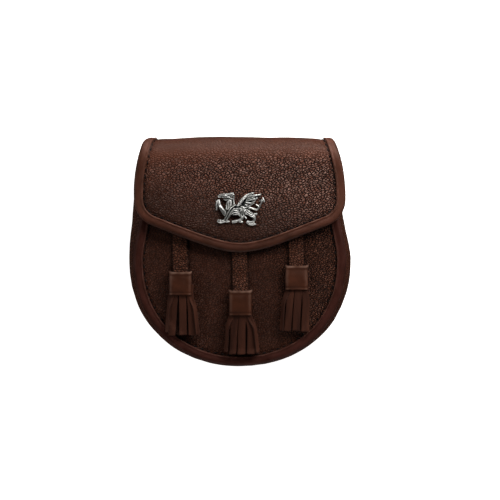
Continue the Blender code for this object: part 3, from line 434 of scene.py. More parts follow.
class SporranColours(bpy.types.PropertyGroup):
    """Colours of the leathers, the thread, the metals and the floor."""

    flap: colour_property("Flap", "Pebbled leather of the flap and back", "#582d1c")
    front: colour_property("Front", "Pebbled leather of the front and gusset", "#381b11")
    binding: colour_property("Flap binding", "Smooth leather of the flap's binding", "#4e2a1e")
    seam_binding: colour_property("Seam binding", "Smooth leather of the other two bindings", "#40201a")
    strap: colour_property("Strap", "Pebbled leather of the straps", "#4a2719")
    collar: colour_property("Collar", "Smooth leather of the collars", "#462416")
    fringe: colour_property("Fringe", "Leather of the cut strands", "#422318")
    flesh: colour_property("Flesh side", "Suede inner side of the leather", "#5a3a2a")
    cut: colour_property("Cut edge", "Dyed cut edges", "#3a1f15")
    thread: colour_property("Thread", "Waxed linen thread", "#0e0503")
    pewter: colour_property("Pewter", "Polished ridges of the casting", "#d3d2cd")
    patina: colour_property("Patina", "Dark hollows of the casting", "#1d1f1e")
    nickel: colour_property("Nickel", "Plated rings and stud", "#cdc9bf")
    floor: colour_property("Floor", "Studio floor", "#faf9f7")


class SporranStage(bpy.types.PropertyGroup):
    """Camera and light."""

    lens: FloatProperty(
        name="Lens", description="Focal length on a 36 mm sensor", default=117.84, min=20.0, unit="CAMERA",
    )
    camera_height: length_property("Camera height", "Height of the camera above the floor", 1422.0)
    table: FloatProperty(
        name="Light table", description="Brightness of the table's own light", default=1.0, min=0.0,
    )
    key: power_property("Key light", "Power of the softbox above and beyond the rolled top", 6.0)
    rim: power_property("Rim light", "Power of the low softbox that skims the rolled top", 8.0)
    left: power_property("Left light", "Power of the softbox at the left", 2.7)
    right: power_property("Right light", "Power of the softbox at the right", 1.6)
    fill: power_property("Fill light", "Power of the low softbox below the fringes", 4.0)


def smooth(low, high, value):
    """0 at low, 1 at high and a smooth step between them."""
    share = np.clip((value - low) / (high - low), 0.0, 1.0)
    return share * share * (3.0 - 2.0 * share)


def bump(distance, *reliefs):
    """Soft ridges or dips of (height, place, width), added up at a distance."""
    return sum(height * np.exp(-(((distance - place) / width) ** 2)) for height, place, width in reliefs)


def lumps(x, y, size, seed):
    """Soft unevenness from about -1 to 1, with bumps about that size apart."""
    draw = np.random.default_rng(seed)
    total = 0.0
    for _ in range(7):
        turn, phase = draw.uniform(0.0, 2.0 * math.pi, 2)
        wave = 2.0 * math.pi / (size * draw.uniform(0.7, 1.6))
        total = total + np.sin(wave * (x * math.cos(turn) + y * math.sin(turn)) + phase)
    return total / 4.0


def points_at(*coordinates):
    """Points from their coordinates, which may be rows, columns, grids or plain numbers."""
    return np.stack(np.broadcast_arrays(*coordinates), -1)


def lifted(flat, z):
    """Flat points, lifted to z."""
    return points_at(flat[..., 0], flat[..., 1], z)


def unit(way):
    """Directions, made 1 long."""
    return way / np.linalg.norm(way, axis=-1, keepdims=True)


def walked(points):
    """How far along a line of points each of them lies."""
    steps = np.linalg.norm(np.diff(np.array(points, float), axis=0), axis=1)
    return np.concatenate([[0.0], np.cumsum(steps)])


def length(points):
    """Length of a line of points."""
    return float(walked(points)[-1])


def route(points, values=None):
    """A function that walks a line of points evenly as its argument goes from 0 to 1.

    It gives its place there, or what the values, one for each point, are there.
    """
    far = walked(points)
    columns = np.array(points if values is None else values, float).T
    return lambda share: np.stack([np.interp(np.asarray(share) * far[-1], far, row) for row in columns], -1)


def beside(line, share, out):
    """The point that lies out to the right of the line's direction at share."""
    step = 0.008
    ahead = unit(line(np.minimum(share + step, 1.0)) - line(np.maximum(share - step, 0.0)))
    return line(share) + points_at(ahead[..., 1], -ahead[..., 0]) * np.asarray(out)[..., None]


def half_width(outline, y, left=False):
    """Half the width of an outline at a height, on one side."""
    up = np.asarray(y, float) - WIDEST_Y
    taper = np.where(left, outline.taper_left, outline.taper_right)
    reach = np.where(left, outline.reach_left, outline.reach_right)
    above = outline.half - taper * up * up / (up * up + reach * reach)
    down = np.maximum(1.0 - (np.maximum(-up, 0.0) / outline.below) ** ROUND, 0.0)
    return np.where(up < 0, outline.half * down ** (1.0 / ROUND), above)


def outline_points(outline):
    """Points from the outline's top left, down, round the bottom and up to its top right."""
    heights = np.linspace(TOP_Y, WIDEST_Y, 96, endpoint=False)
    left = points_at(-half_width(outline, heights, left=True), heights)
    right = points_at(half_width(outline, heights), heights)[::-1]
    angles = np.linspace(math.pi, 2.0 * math.pi, 385)
    across, down = np.cos(angles), np.sin(angles)
    low_x = outline.half * np.copysign(np.abs(across) ** (2.0 / ROUND), across)
    low_y = WIDEST_Y - outline.below * np.abs(down) ** (2.0 / ROUND)
    return np.concatenate([left, points_at(low_x, low_y), right])


FRONT_LINE = route(outline_points(FRONT_EDGE))
BACK_LINE = route(outline_points(BACK_EDGE))
CREST_LINE = route(outline_points(CREST))


def inside(points, outline):
    """How far each point of an array lies from an outline."""
    count = int(length(outline) / (0.25 * MM))
    tree = KDTree(count)
    for i, (x, y) in enumerate(route(outline)(np.linspace(0.0, 1.0, count))):
        tree.insert((x, y, 0.0), i)
    tree.balance()
    flat = points.reshape(-1, 2)
    return np.array([tree.find((x, y, 0.0))[2] for x, y in flat]).reshape(points.shape[:-1])


def seam_relief(distance):
    """How far the seam beside a binding draws the leather down, at a distance inside the cut edge."""
    pressed = PRESSED * (1.0 - smooth(BIND_IN, PRESSED_TO, distance))
    return -bump(distance, (SEAM_DIP, SEAM_IN, SEAM_DIP_WIDE)) - pressed


def nearness(outline, inset, reach_up, x, y):
    """0 at the widest line's middle and 1 on a line that runs inset inside the outline."""
    up = y - WIDEST_Y
    half = half_width(outline, np.maximum(y, WIDEST_Y), left=x < 0) - inset
    reach = np.where(up > 0, reach_up, outline.below - inset)
    return ((np.abs(x) / half) ** ROUND + (np.abs(up) / reach) ** ROUND) ** (1.0 / ROUND)


def front_height(x, y):
    """Outer face of the front panel: flat under the binding, domed inside it and a little uneven."""
    near = np.minimum(nearness(FRONT_EDGE, DOME_INSET, DOME_REACH_UP, x, y), 1.0)
    soft = bpy.context.scene.sporran_sizes.unevenness * (1.0 - near ** 4)
    return FRONT_Z + DOME * (1.0 - near ** 3) ** 1.6 + soft * lumps(x, y, 46 * MM, 3)


def lying_height(x, y):
    """What a tassel lies on: the front panel, and the binding along its edge."""
    on_binding = smooth(0.94, 1.0, nearness(FRONT_EDGE, BORDER, DOME_REACH_UP, x, y))
    return front_height(x, y) + (BINDING + GAP) * on_binding + LYING_GAP


def back_rise(y):
    """How far the back panel's middle is off the floor: flat below, and lifted by the ring tabs above."""
    return BACK_RISE * smooth(RISE_FROM_Y, RISE_TO_Y, y)


def rim_lift(y):
    """How far the back panel's edge stands above its middle, to leave room for the binding under it."""
    return (BINDING + GAP) * (1.0 - smooth(*RIM_FADES_Y, y))


def back_height(x, y):
    """Outer face of the back panel, which is the one that lies on the floor."""
    near = nearness(BACK_EDGE, BORDER, 1.0, x, y)
    return back_rise(y) + rim_lift(y) * smooth(0.86, 0.96, near)


def back_edge_height(y):
    """Outer face of the back panel along its seam."""
    return back_rise(y) + rim_lift(y)


def over_roll(y):
    """A height on the front as a length along the pattern of the back and flap, and the other way round."""
    return 2.0 * TOP_Y + ROLL_LENGTH - y


def leather_point(x, along):
    """Where a point of the flat-cut back and flap lies once the leather is rolled over the top.

    Up to TOP_Y the pattern's length is Y on the back. Past the roll it runs down the front.
    """
    radius = ROLL_RADIUS - ROLL_TIGHTER * (x / ROLL_TIGHTER_X) ** 2
    share = np.clip((along - TOP_Y) / ROLL_LENGTH, 0.0, 1.0)
    turn = math.pi * share
    front_y = over_roll(along)
    fall = FLAP_SIDE_FALL * (np.abs(x) / FLAP_HALF) ** 4 * smooth(0.0, 30.0 * MM, TOP_Y - front_y)
    on_back, on_roll = along <= TOP_Y, along < TOP_Y + ROLL_LENGTH
    y = np.where(on_back, along, np.where(on_roll, TOP_Y + radius * np.sin(turn), front_y))
    roll_z = back_edge_height(TOP_Y) + radius * (1.0 - np.cos(turn))
    z = np.where(on_back, back_height(x, np.minimum(along, TOP_Y)), np.where(on_roll, roll_z, roll_z - fall))
    left = LEFT_SLUMP * smooth(-45.0 * MM, -78.0 * MM, x) * smooth(30.0 * MM, 70.0 * MM, front_y)
    right = RIGHT_SLUMP * smooth(45.0 * MM, 78.0 * MM, x) * bump(front_y, (1.0, 71.0 * MM, 24.0 * MM))
    left_pinch = LEFT_PINCH * smooth(-52.0 * MM, -80.0 * MM, x)
    right_pinch = RIGHT_PINCH * smooth(52.0 * MM, 80.0 * MM, x)
    pinch = bump(share, (1.0, 0.50, 0.11)) * (left_pinch - right_pinch)
    return points_at(x + smooth(0.25, 0.55, share) * (right - left) + pinch, y, z)


def leather_outward(x, along):
    """Outward direction of the leather at a point of the pattern."""
    step = 0.2 * MM
    across = leather_point(x + step, along) - leather_point(x - step, along)
    down = leather_point(x, along + step) - leather_point(x, along - step)
    return unit(np.cross(down, across))


def off_leather(spots, height):
    """Points that stand off the rolled leather, over spots of the pattern."""
    x, along = spots[..., 0], spots[..., 1]
    return leather_point(x, along) + leather_outward(x, along) * np.asarray(height)[..., None]


def flap_half(along):
    """Half-width of the pattern from the roll's start to the flap's corners: narrowest over the top."""
    top = TOP_Y + ROLL_LENGTH / 2
    start = half_width(BACK_EDGE, TOP_Y)
    reach = TOP_Y + ROLL_LENGTH + TOP_Y - corner_centre()[1] - top
    narrowing = start + (WAIST - start) * smooth(TOP_Y, top, along)
    widening = smooth(0.0, 1.0, np.clip((along - top) / reach, 0.0, 1.0) ** 0.9)
    return np.where(along < top, narrowing, WAIST + (FLAP_HALF - WAIST) * widening)


def slanted_edge(x):
    """Y of the flap's lower edge."""
    return FLAP_TIP_Y + FLAP_SLOPE * (np.hypot(x, FLAP_TIP_ROUND) - FLAP_TIP_ROUND)


def corner_centre():
    """Centre of the right corner's arc, and the angle of the slanted edge where the arc meets it."""
    centre_x, slant = FLAP_HALF - FLAP_CORNER, 0.0
    for _ in range(4):
        meet_x = centre_x + FLAP_CORNER * math.sin(slant)
        slant = math.atan(FLAP_SLOPE * meet_x / math.hypot(meet_x, FLAP_TIP_ROUND))
    return centre_x, float(slanted_edge(meet_x)) + FLAP_CORNER * math.cos(slant), slant


def right_edge_points():
    """The pattern's right edge from the roll's start to the tip, and which point is the corner's middle."""
    centre_x, centre_y, slant = corner_centre()
    alongs = np.linspace(TOP_Y, over_roll(centre_y), 120, endpoint=False)
    turns = np.linspace(0.0, math.pi / 2 - slant, 33)
    xs = np.linspace(centre_x + FLAP_CORNER * math.sin(slant), 0.0, 90)[1:]
    side = points_at(flap_half(alongs), alongs)
    arc = points_at(centre_x + FLAP_CORNER * np.cos(turns), over_roll(centre_y - FLAP_CORNER * np.sin(turns)))
    low = points_at(xs, over_roll(slanted_edge(xs)))
    return np.concatenate([side, arc, low]), len(side) + len(arc) // 2


def mirrored(points):
    """The same points on the other side."""
    return np.array(points) * (-1.0, 1.0)


def patch(low, high, left, right, across, along):
    """The space between four edge lines, filled at shares across and along it."""
    a, b = (grid[..., None] for grid in np.meshgrid(across, along))
    upright = (1 - b) * low(a[..., 0]) + b * high(a[..., 0])
    level = (1 - a) * left(b[..., 0]) + a * right(b[..., 0])
    low_corners = (1 - a) * low(0.0) + a * low(1.0)
    high_corners = (1 - a) * high(0.0) + a * high(1.0)
    return upright + level - (1 - b) * low_corners - b * high_corners


def panel_spots(outline, across, along):
    """Points inside an outline in rows, from its bottom to TOP_Y."""
    points = outline_points(outline)
    left = int(np.argmax(points[:, 1] < WIDEST_Y - 0.70 * outline.below))
    right = len(points) - 1 - left
    bottom, side = points[left:right + 1], points[right:]
    top = [mirrored(side[-1]), side[-1]]
    return patch(*(route(line) for line in (bottom, top, mirrored(side), side)), across, along)


def shares(span, step, first=False, last=False):
    """Shares from 0 to 1 over a span, about a step apart, with close lines under and beside a binding."""
    low = np.array(BORDER_LINES if first else (0.0,)) / span
    high = 1.0 - np.array(BORDER_LINES if last else (0.0,))[::-1] / span
    inner = np.linspace(low[-1], high[0], max(2, round((high[0] - low[-1]) * span / step) + 1))
    return np.concatenate([low, inner[1:-1], high])


def laid(spots, pattern, marks=None, flip=False, tube=False, capped=False):
    """A grid laid on spots, an array of rows of points, with its pattern as UVs and its marks as attributes.

    tube joins the sides, and the ends, that meet, and capped closes a tube's open ends.
    """
    rows, columns = spots.shape[0] - 1, spots.shape[1] - 1
    bm = bmesh.new()
    uv = bm.loops.layers.uv.new(PATTERN)
    layers = {name: bm.verts.layers.float.new(name) for name in (marks or {})}
    bmesh.ops.create_grid(bm, x_segments=columns, y_segments=rows, size=0.5)
    flat = (np.array([vert.co[:2] for vert in bm.verts]) + 0.5) * (columns, rows)
    column, row = np.round(flat).astype(int).T
    lines = pattern[row, column]
    bm.verts.index_update()
    for face in bm.faces:
        for corner in face.loops:
            corner[uv].uv = lines[corner.vert.index]
    for vert, point in zip(bm.verts, spots[row, column]):
        vert.co = point
    for name, layer in layers.items():
        values = np.broadcast_to(marks[name], spots.shape[:2])[row, column]
        for vert, value in zip(bm.verts, values):
            vert[layer] = value
    if tube:
        bmesh.ops.remove_doubles(bm, verts=bm.verts, dist=1e-7)
        if capped:
            ends = [edge for edge in bm.edges if edge.is_boundary]
            bmesh.ops.holes_fill(bm, edges=ends, sides=0)
        bmesh.ops.recalc_face_normals(bm, faces=bm.faces)
    elif flip:
        bmesh.ops.reverse_faces(bm, faces=bm.faces)
    return bm


def fill(tree, node, sockets):
    """Give sockets of a node a value each, or another node's output to link from."""
    for socket, value in dict(sockets).items():
        if isinstance(value, bpy.types.NodeSocket):
            tree.links.new(value, node.inputs[socket])
        else:
            node.inputs[socket].default_value = value


def add(tree, kind, sockets=(), output=0, **settings):
    """Add a node with its settings and links, and give one of its outputs."""
    node = tree.nodes.new("ShaderNode" + kind)
    for name, value in settings.items():
        setattr(node, name, value)
    fill(tree, node, sockets)
    return node.outputs[output]


def rgba(colour, scale=1.0):
    """A colour for a socket, from its sRGB hex or from its name among the panel's colours."""
    parts = linear(colour) if colour[0] == "#" else getattr(bpy.context.scene.sporran_colours, colour)
    return (*(scale * part for part in parts), 1.0)


def start_material(name):
    """A new material of that name, and its node tree."""
    material = bpy.data.materials.new(name)
    material.use_nodes = True
    return material, material.node_tree


def finish_material(material, sockets):
    """Give sockets of a material's shader their values and links."""
    tree = material.node_tree
    fill(tree, tree.nodes["Principled BSDF"], sockets)
    return material


def finish_leather(material, shine, dyed, relief, gloss):
    """Finish a leather that shines a little in its own brown, with the wear and painted light that its
    piece's attribute gives.

    Rubbing and painted highlights pale the dyed colour; dye, painted shade and painted shadow darken it.
    """
    tree = material.node_tree
    wear = add(tree, "Attribute", output="Fac", attribute_name=WEAR_AND_PAINTED_LIGHT)
    rub_and_painted_highlight = add(tree, "MapRange", {"Value": wear, "To Max": 0.75})
    pale_and_lit = add(tree, "Mix", {0: rub_and_painted_highlight, 6: dyed, 7: rgba(PALED_AND_LIT)}, 2, data_type="RGBA")
    stain_and_painted_shade = add(tree, "MapRange", {"Value": wear, "From Min": -1.0, "From Max": 0.0, "To Min": 0.12})
    return finish_material(material, {
        "Base Color": add(tree, "VectorMath", {0: pale_and_lit, "Scale": stain_and_painted_shade}, operation="SCALE"),
        "Roughness": gloss,
        "Normal": relief,
        "Specular IOR Level": shine,
        "Specular Tint": rgba(SHINE_TINT),
    })


def pebbled_leather(name, colour, crease_dye_and_shade, tip, shine, depth=1.0, seed=0.0, fineness=1.0):
    """Full-grain cowhide embossed with a pebble grain, dyed and sealed.

    The pebbles are drawn out a little to one side, with a soft shine on top. The creases between them are
    duller and painted darker, partly their dye and partly painted shade, and the tips are painted paler,
    partly rubbing and partly painted highlight.
    """
    sizes = bpy.context.scene.sporran_sizes
    size = sizes.grain * fineness
    material, tree = start_material(name)
    placed = add(tree, "Mapping", {
        "Vector": add(tree, "UVMap", uv_map=PATTERN),
        "Location": (seed, seed / 2, 0.0),
        "Rotation": (0.0, 0.0, PEBBLE_TURN),
    })
    drawn = add(tree, "VectorMath", {0: placed, 1: PEBBLE_SHAPE}, operation="MULTIPLY")
    warp = add(tree, "TexNoise", {
        "Vector": placed, "Scale": 1 / (2.0 * size), "Detail": 3.0, "Roughness": 0.6,
    }, "Color")
    wander = add(tree, "VectorMath", {
        0: warp, 1: (1.1 * size, 1.1 * size, 0.0), 2: drawn,
    }, operation="MULTIPLY_ADD")
    # The pebbles: domes between the cell edges, each of its own height, in rows that swell and sink
    cells = {"Vector": wander, "Scale": 1 / size}
    edge = add(tree, "TexVoronoi", cells, "Distance", voronoi_dimensions="2D", feature="DISTANCE_TO_EDGE")
    dome = add(tree, "MapRange", {"Value": edge, "From Max": 0.34}, interpolation_type="SMOOTHSTEP")
    own = add(tree, "SeparateColor", {
        "Color": add(tree, "TexVoronoi", cells, "Color", voronoi_dimensions="2D"),
    })
    tall = add(tree, "MapRange", {"Value": own, "To Min": 0.75, "To Max": 1.15})
    rows = add(tree, "VectorMath", {0: placed, 1: ROW_SHAPE}, operation="MULTIPLY")
    broad = add(tree, "TexNoise", {"Vector": rows, "Scale": 1 / (1.9 * size), "Detail": 2.0})
    swell = add(tree, "MapRange", {
        "Value": broad, "From Min": 0.35, "From Max": 0.65, "To Min": 0.65, "To Max": 1.25,
    })
    pebble = add(tree, "Math", {0: dome, 1: tall}, operation="MULTIPLY")
    varied = add(tree, "Math", {0: pebble, 1: swell}, operation="MULTIPLY")
    # The relief, with fine wrinkles, as strong as the piece's attribute says
    strength = add(tree, "Attribute", output="Fac", attribute_name=GRAIN)
    fine = add(tree, "TexNoise", {
        "Vector": wander, "Scale": 1 / (0.4 * size), "Detail": 3.0, "Roughness": 0.6,
    })
    rough = add(tree, "Math", {0: fine, 1: 0.35, 2: varied}, operation="MULTIPLY_ADD")
    height = add(tree, "Math", {0: rough, 1: strength}, operation="MULTIPLY")
    relief = add(tree, "Bump", {"Height": height, "Strength": 1.0, "Distance": sizes.grain_depth * depth})
    # The colour: dull creases painted dark, partly dye and partly painted shade, and tips painted pale,
    # partly rubbing and partly painted highlight
    open_grain = add(tree, "MapRange", {
        "Value": varied, "From Min": 0.04, "From Max": 0.50,
    }, interpolation_type="SMOOTHSTEP")
    out_of_crease = add(tree, "Mix", {0: strength, 2: 0.8, 3: open_grain}, data_type="FLOAT")
    gloss = add(tree, "MapRange", {"Value": out_of_crease, "To Min": 0.7, "To Max": 0.36})
    crease_dye_and_shade_mix = add(tree, "Mix", {0: out_of_crease, 6: rgba(crease_dye_and_shade), 7: rgba(colour)}, 2, data_type="RGBA")
    top = add(tree, "Math", {0: varied, 1: fine}, operation="MULTIPLY")
    tip_rub_and_highlight = add(tree, "MapRange", {"Value": top, "From Min": 0.20, "From Max": 0.95})
    shown = add(tree, "Math", {0: tip_rub_and_highlight, 1: strength}, operation="MULTIPLY", use_clamp=True)
    rub_and_painted_highlight = add(tree, "Mix", {0: shown, 6: crease_dye_and_shade_mix, 7: rgba(tip)}, 2, data_type="RGBA")
    cloudy = add(tree, "TexNoise", {"Vector": placed, "Scale": 1 / HIDE_CLOUDS, "Detail": 4.0})
    shade = add(tree, "MapRange", {
        "Value": cloudy, "From Min": 0.3, "From Max": 0.7, "To Min": 0.84, "To Max": 1.14,
    })
    dyed = add(tree, "VectorMath", {0: rub_and_painted_highlight, "Scale": shade}, operation="SCALE")
    return finish_leather(material, shine, dyed, relief, gloss)


@cache
def flap_leather():
    """The flap and back."""
    return pebbled_leather("flap pebbled cowhide", "flap", "#080201", "#8f6d60", 0.20)


@cache
def front_leather():
    """The front, darker than the flap."""
    return pebbled_leather(
        "front pebbled cowhide", "front", "#0c0402", "#6a4434", 0.11, depth=0.8, seed=0.31, fineness=0.85,
    )


@cache
def gusset_leather():
    """The gusset: the front's leather, stretched a little smoother round the sides."""
    return pebbled_leather(
        "gusset pebbled cowhide", "front", "#1d0d08", "#52301f", 0.12, depth=0.5, seed=0.57,
    )


@cache
def strap_leather():
    """The straps and ring tabs."""
    return pebbled_leather("strap pebbled cowhide", "strap", "#180a06", "#6d4838", 0.14, seed=0.83)


def smooth_leather(name, colour, dark, rough, streak, shine, pore):
    """Smooth veg-tanned leather, dyed, burnished and waxed.

    It has faint pores, long soft creases along the strip, and darker dye where it thickens.
    """
    material, tree = start_material(name)
    pattern = add(tree, "UVMap", uv_map=PATTERN)
    drawn = add(tree, "Mapping", {"Vector": pattern, "Scale": streak})
    pores = add(tree, "TexNoise", {
        "Vector": pattern, "Scale": 1 / PORES, "Detail": 4.0, "Roughness": 0.65,
    })
    creases = add(tree, "TexNoise", {"Vector": drawn, "Scale": 1 / STRIP_CREASES, "Detail": 3.0})
    height = add(tree, "Math", {0: creases, 1: 2.2, 2: pores}, operation="MULTIPLY_ADD")
    relief = add(tree, "Bump", {"Height": height, "Strength": 1.0, "Distance": pore * MM})
    gloss = add(tree, "MapRange", {
        "Value": pores, "From Min": 0.3, "From Max": 0.7, "To Min": rough[0], "To Max": rough[1],
    })
    cloudy = add(tree, "TexNoise", {"Vector": drawn, "Scale": 1 / STRIP_CLOUDS, "Detail": 4.0})
    mottle = add(tree, "MapRange", {"Value": cloudy, "From Min": 0.32, "From Max": 0.62})
    dyed = add(tree, "Mix", {0: mottle, 6: rgba(dark), 7: rgba(colour)}, 2, data_type="RGBA")
    return finish_leather(material, shine, dyed, relief, gloss)


@cache
def binding_leather():
    """The flap's binding, streaked along its length."""
    return smooth_leather(
        "flap binding leather", "binding", "#331609", (0.42, 0.60), (1.0, 0.45, 1.0), 0.22, 0.12,
    )


@cache
def seam_binding_leather():
    """The darker bindings of the front and back."""
    return smooth_leather(
        "seam binding leather", "seam_binding", "#2c110a", (0.44, 0.62), (1.0, 0.45, 1.0), 0.12, 0.11,
    )


@cache
def collar_leather():
    """The collars, polished by handling."""
    return smooth_leather(
        "collar strip leather", "collar", "#33190f", (0.36, 0.52), (0.6, 0.6, 1.0), 0.28, 0.07,
    )


@cache
def fringe_leather():
    """Split leather cut into strands: dull, with faint lengthwise fibres."""
    return smooth_leather(
        "fringe cut leather", "fringe", "#2a140d", (0.66, 0.84), (1.0, 0.16, 1.0), 0.16, 0.10,
    )


def raw_leather(name, colour, dark, nap, depth, rough):
    """Leather that was never sealed: a short nap that scatters light and hides any shine."""
    material, tree = start_material(name)
    fluff = add(tree, "TexNoise", {
        "Vector": add(tree, "TexCoord", output="Object"),
        "Scale": 1 / nap, "Detail": 4.0, "Roughness": 0.7,
    })
    mottle = add(tree, "MapRange", {"Value": fluff, "From Min": 0.3, "From Max": 0.7})
    return finish_material(material, {
        "Base Color": add(tree, "Mix", {0: mottle, 6: rgba(dark), 7: rgba(colour)}, 2, data_type="RGBA"),
        "Roughness": rough,
        "Normal": add(tree, "Bump", {"Height": fluff, "Strength": 1.0, "Distance": depth}),
        "Specular IOR Level": 0.08,
    })


@cache
def flesh_side():
    """Suede inner side of the leather."""
    return raw_leather("suede flesh side", "flesh", "#3d261b", SUEDE_NAP, 0.12 * MM, 0.95)


@cache
def cut_edge():
    """Cut edge, dyed to match."""
    return raw_leather("dyed cut edge", "cut", "#1c0f0b", EDGE_NAP, 0.08 * MM, 0.7)


@cache
def waxed_thread():
    """Plied linen thread drawn through wax: nearly black, with the plies showing as fine slanting lines."""
    material, tree = start_material("waxed linen thread")
    place = add(tree, "TexCoord", output="Object")
    plies = add(tree, "TexWave", {
        "Vector": place, "Scale": 1 / PLIES, "Distortion": 1.5,
    }, "Fac", bands_direction="DIAGONAL")
    fibres = add(tree, "TexNoise", {"Vector": place, "Scale": 1 / FIBRES, "Detail": 2.0})
    return finish_material(material, {
        "Base Color": add(tree, "Mix", {
            0: fibres, 6: rgba("#080201"), 7: rgba("thread"),
        }, 2, data_type="RGBA"),
        "Roughness": 0.6,
        "Normal": add(tree, "Bump", {"Height": plies, "Strength": 0.8, "Distance": 0.08 * MM}),
        "Specular IOR Level": 0.15,
    })


@cache
def cast_pewter():
    """Pewter cast in sand, dipped in a black patina and polished.

    It is bright on its ridges and dark in its hollows, and has the fine pits of the mould.
    """
    material, tree = start_material("cast pewter")
    hollow = add(tree, "Attribute", output="Fac", attribute_name=HOLLOW)
    grit = add(tree, "TexNoise", {
        "Vector": add(tree, "TexCoord", output="Object"),
        "Scale": 1 / GRIT, "Detail": 4.0, "Roughness": 0.6,
    })
    uneven = add(tree, "Math", {0: grit, 1: 0.45, 2: hollow}, operation="MULTIPLY_ADD")
    dirt = add(tree, "MapRange", {
        "Value": uneven, "From Min": 0.28, "From Max": 0.62,
    }, interpolation_type="SMOOTHSTEP")
    return finish_material(material, {
        "Base Color": add(tree, "Mix", {
            0: dirt, 6: rgba("pewter"), 7: rgba("patina"),
        }, 2, data_type="RGBA"),
        "Metallic": 1.0,
        "Roughness": add(tree, "MapRange", {"Value": dirt, "To Min": 0.36, "To Max": 0.62}),
        "Normal": add(tree, "Bump", {"Height": grit, "Strength": 1.0, "Distance": 0.06 * MM}),
    })


@cache
def nickel_plate():
    """Steel wire plated with nickel: a warm bright metal with fine rubbing marks."""
    material, tree = start_material("nickel plate")
    place = add(tree, "TexCoord", output="Object")
    drawn = add(tree, "Mapping", {"Vector": place, "Scale": (1.0, 0.15, 1.0)})
    marks = add(tree, "TexNoise", {"Vector": drawn, "Scale": 1 / RUB_MARKS, "Detail": 3.0})
    haze = add(tree, "TexNoise", {"Vector": place, "Scale": 1 / HAZE, "Detail": 2.0})
    return finish_material(material, {
        "Base Color": add(tree, "Mix", {
            0: haze, 6: rgba("nickel", 0.8), 7: rgba("nickel"),
        }, 2, data_type="RGBA"),
        "Metallic": 1.0,
        "Roughness": add(tree, "MapRange", {"Value": marks, "To Min": 0.16, "To Max": 0.34}),
    })


@cache
def studio_floor():
    """A light table: a matt opal sheet, lit evenly from below, which keeps the shadows on it faint."""
    material, tree = start_material("opal light table")
    mottle = add(tree, "TexNoise", {
        "Vector": add(tree, "TexCoord", output="Object"), "Scale": 30.0, "Detail": 3.0,
    })
    return finish_material(material, {
        "Base Color": add(tree, "Mix", {
            0: mottle, 6: rgba("floor", 0.985), 7: rgba("floor"),
        }, 2, data_type="RGBA"),
        "Roughness": 0.9,
        "Specular IOR Level": 0.1,
        "Emission Color": rgba("floor"),
        "Emission Strength": bpy.context.scene.sporran_stage.table,
    })


def as_mesh(name, bm):
    """A new mesh from a bmesh, which is used up."""
    mesh = bpy.data.meshes.new(name)
    bm.to_mesh(mesh)
    bm.free()
    return mesh


def put(name, data):
    """A new object in the scene."""
    thing = bpy.data.objects.new(name, data)
    bpy.context.scene.collection.objects.link(thing)
    return thing


def add_piece(name, mesh, materials, nodes=(), sharp=50.0):
    """Finish a mesh or bmesh as a piece that rides on the root and stands for CAD nodes."""
    if isinstance(mesh, bmesh.types.BMesh):
        mesh = as_mesh(name, mesh)
    mesh.shade_smooth()
    mesh.set_sharp_from_angle(angle=math.radians(sharp))
    piece = put(name, mesh)
    for material in materials:
        mesh.materials.append(material())
    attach(piece, "root")
    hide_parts(*nodes)
    return piece


def add_edge(piece, name, width, angle):
    """Round a piece's edges that turn by more than an angle."""
    edge = piece.modifiers.new(name, "BEVEL")
    edge.width = width
    edge.segments = 2
    edge.limit_method = "ANGLE"
    edge.angle_limit = math.radians(angle)


def add_wall(node, bm, leather, thickness, offset=-1.0, rounding=None, kind="leather",
             back=flesh_side):
    """Add a node's leather, with its thickness, the material of its back and its dyed cut edge."""
    piece = add_piece(f"{node}_{kind}", bm, (leather, back, cut_edge), [node])
    wall = piece.modifiers.new("Wall", "SOLIDIFY")
    wall.thickness = thickness
    wall.offset = offset
    wall.use_even_offset = True
    wall.material_offset = 1
    wall.material_offset_rim = 2
    sizes = bpy.context.scene.sporran_sizes
    add_edge(piece, "Worn edge", sizes.edge_round if rounding is None else rounding, 55)


def grain_strength(x, y):
    """How bold the pebbles, their painted crease shade and their painted tip highlights are at a place on the
    flap: bolder towards the upper right of the hide.
    """
    upwards = smooth(-40.0 * MM, 95.0 * MM, 0.65 * x + 0.76 * y)
    return 0.38 + 1.20 * upwards * (0.55 + 0.45 * smooth(18.0 * MM, 55.0 * MM, y))


def front_grain(x, y):
    """The same on the front, painted shade and highlights included, where the leather was pulled smooth
    except towards its right side.
    """
    return 0.50 + 0.80 * smooth(0.0, 75.0 * MM, x + 0.3 * y)


def flap_pattern_edge():
    """The whole cut edge of the back and flap, in the pattern."""
    right, _ = right_edge_points()
    return np.concatenate([outline_points(BACK_EDGE), right[1:], mirrored(right)[::-1]])


def flap_relief(x, along, distance):
    """How far the back and flap stand off their plain shape: uneven in the open, drawn down at the seam."""
    away = smooth(14.0 * MM, 30.0 * MM, np.hypot(x - BADGE_X, over_roll(along) - BADGE_Y))
    open_leather = smooth(7.0 * MM, 22.0 * MM, distance) * smooth(TOP_Y, TOP_Y + 20 * MM, along)
    soft = lumps(x, along, 52 * MM, 11) + 0.35 * lumps(x, along, 19 * MM, 12)
    sunk = seam_relief(distance) * np.where(along < TOP_Y, 0.6, 1.0)
    return bpy.context.scene.sporran_sizes.unevenness * away * open_leather * soft + sunk


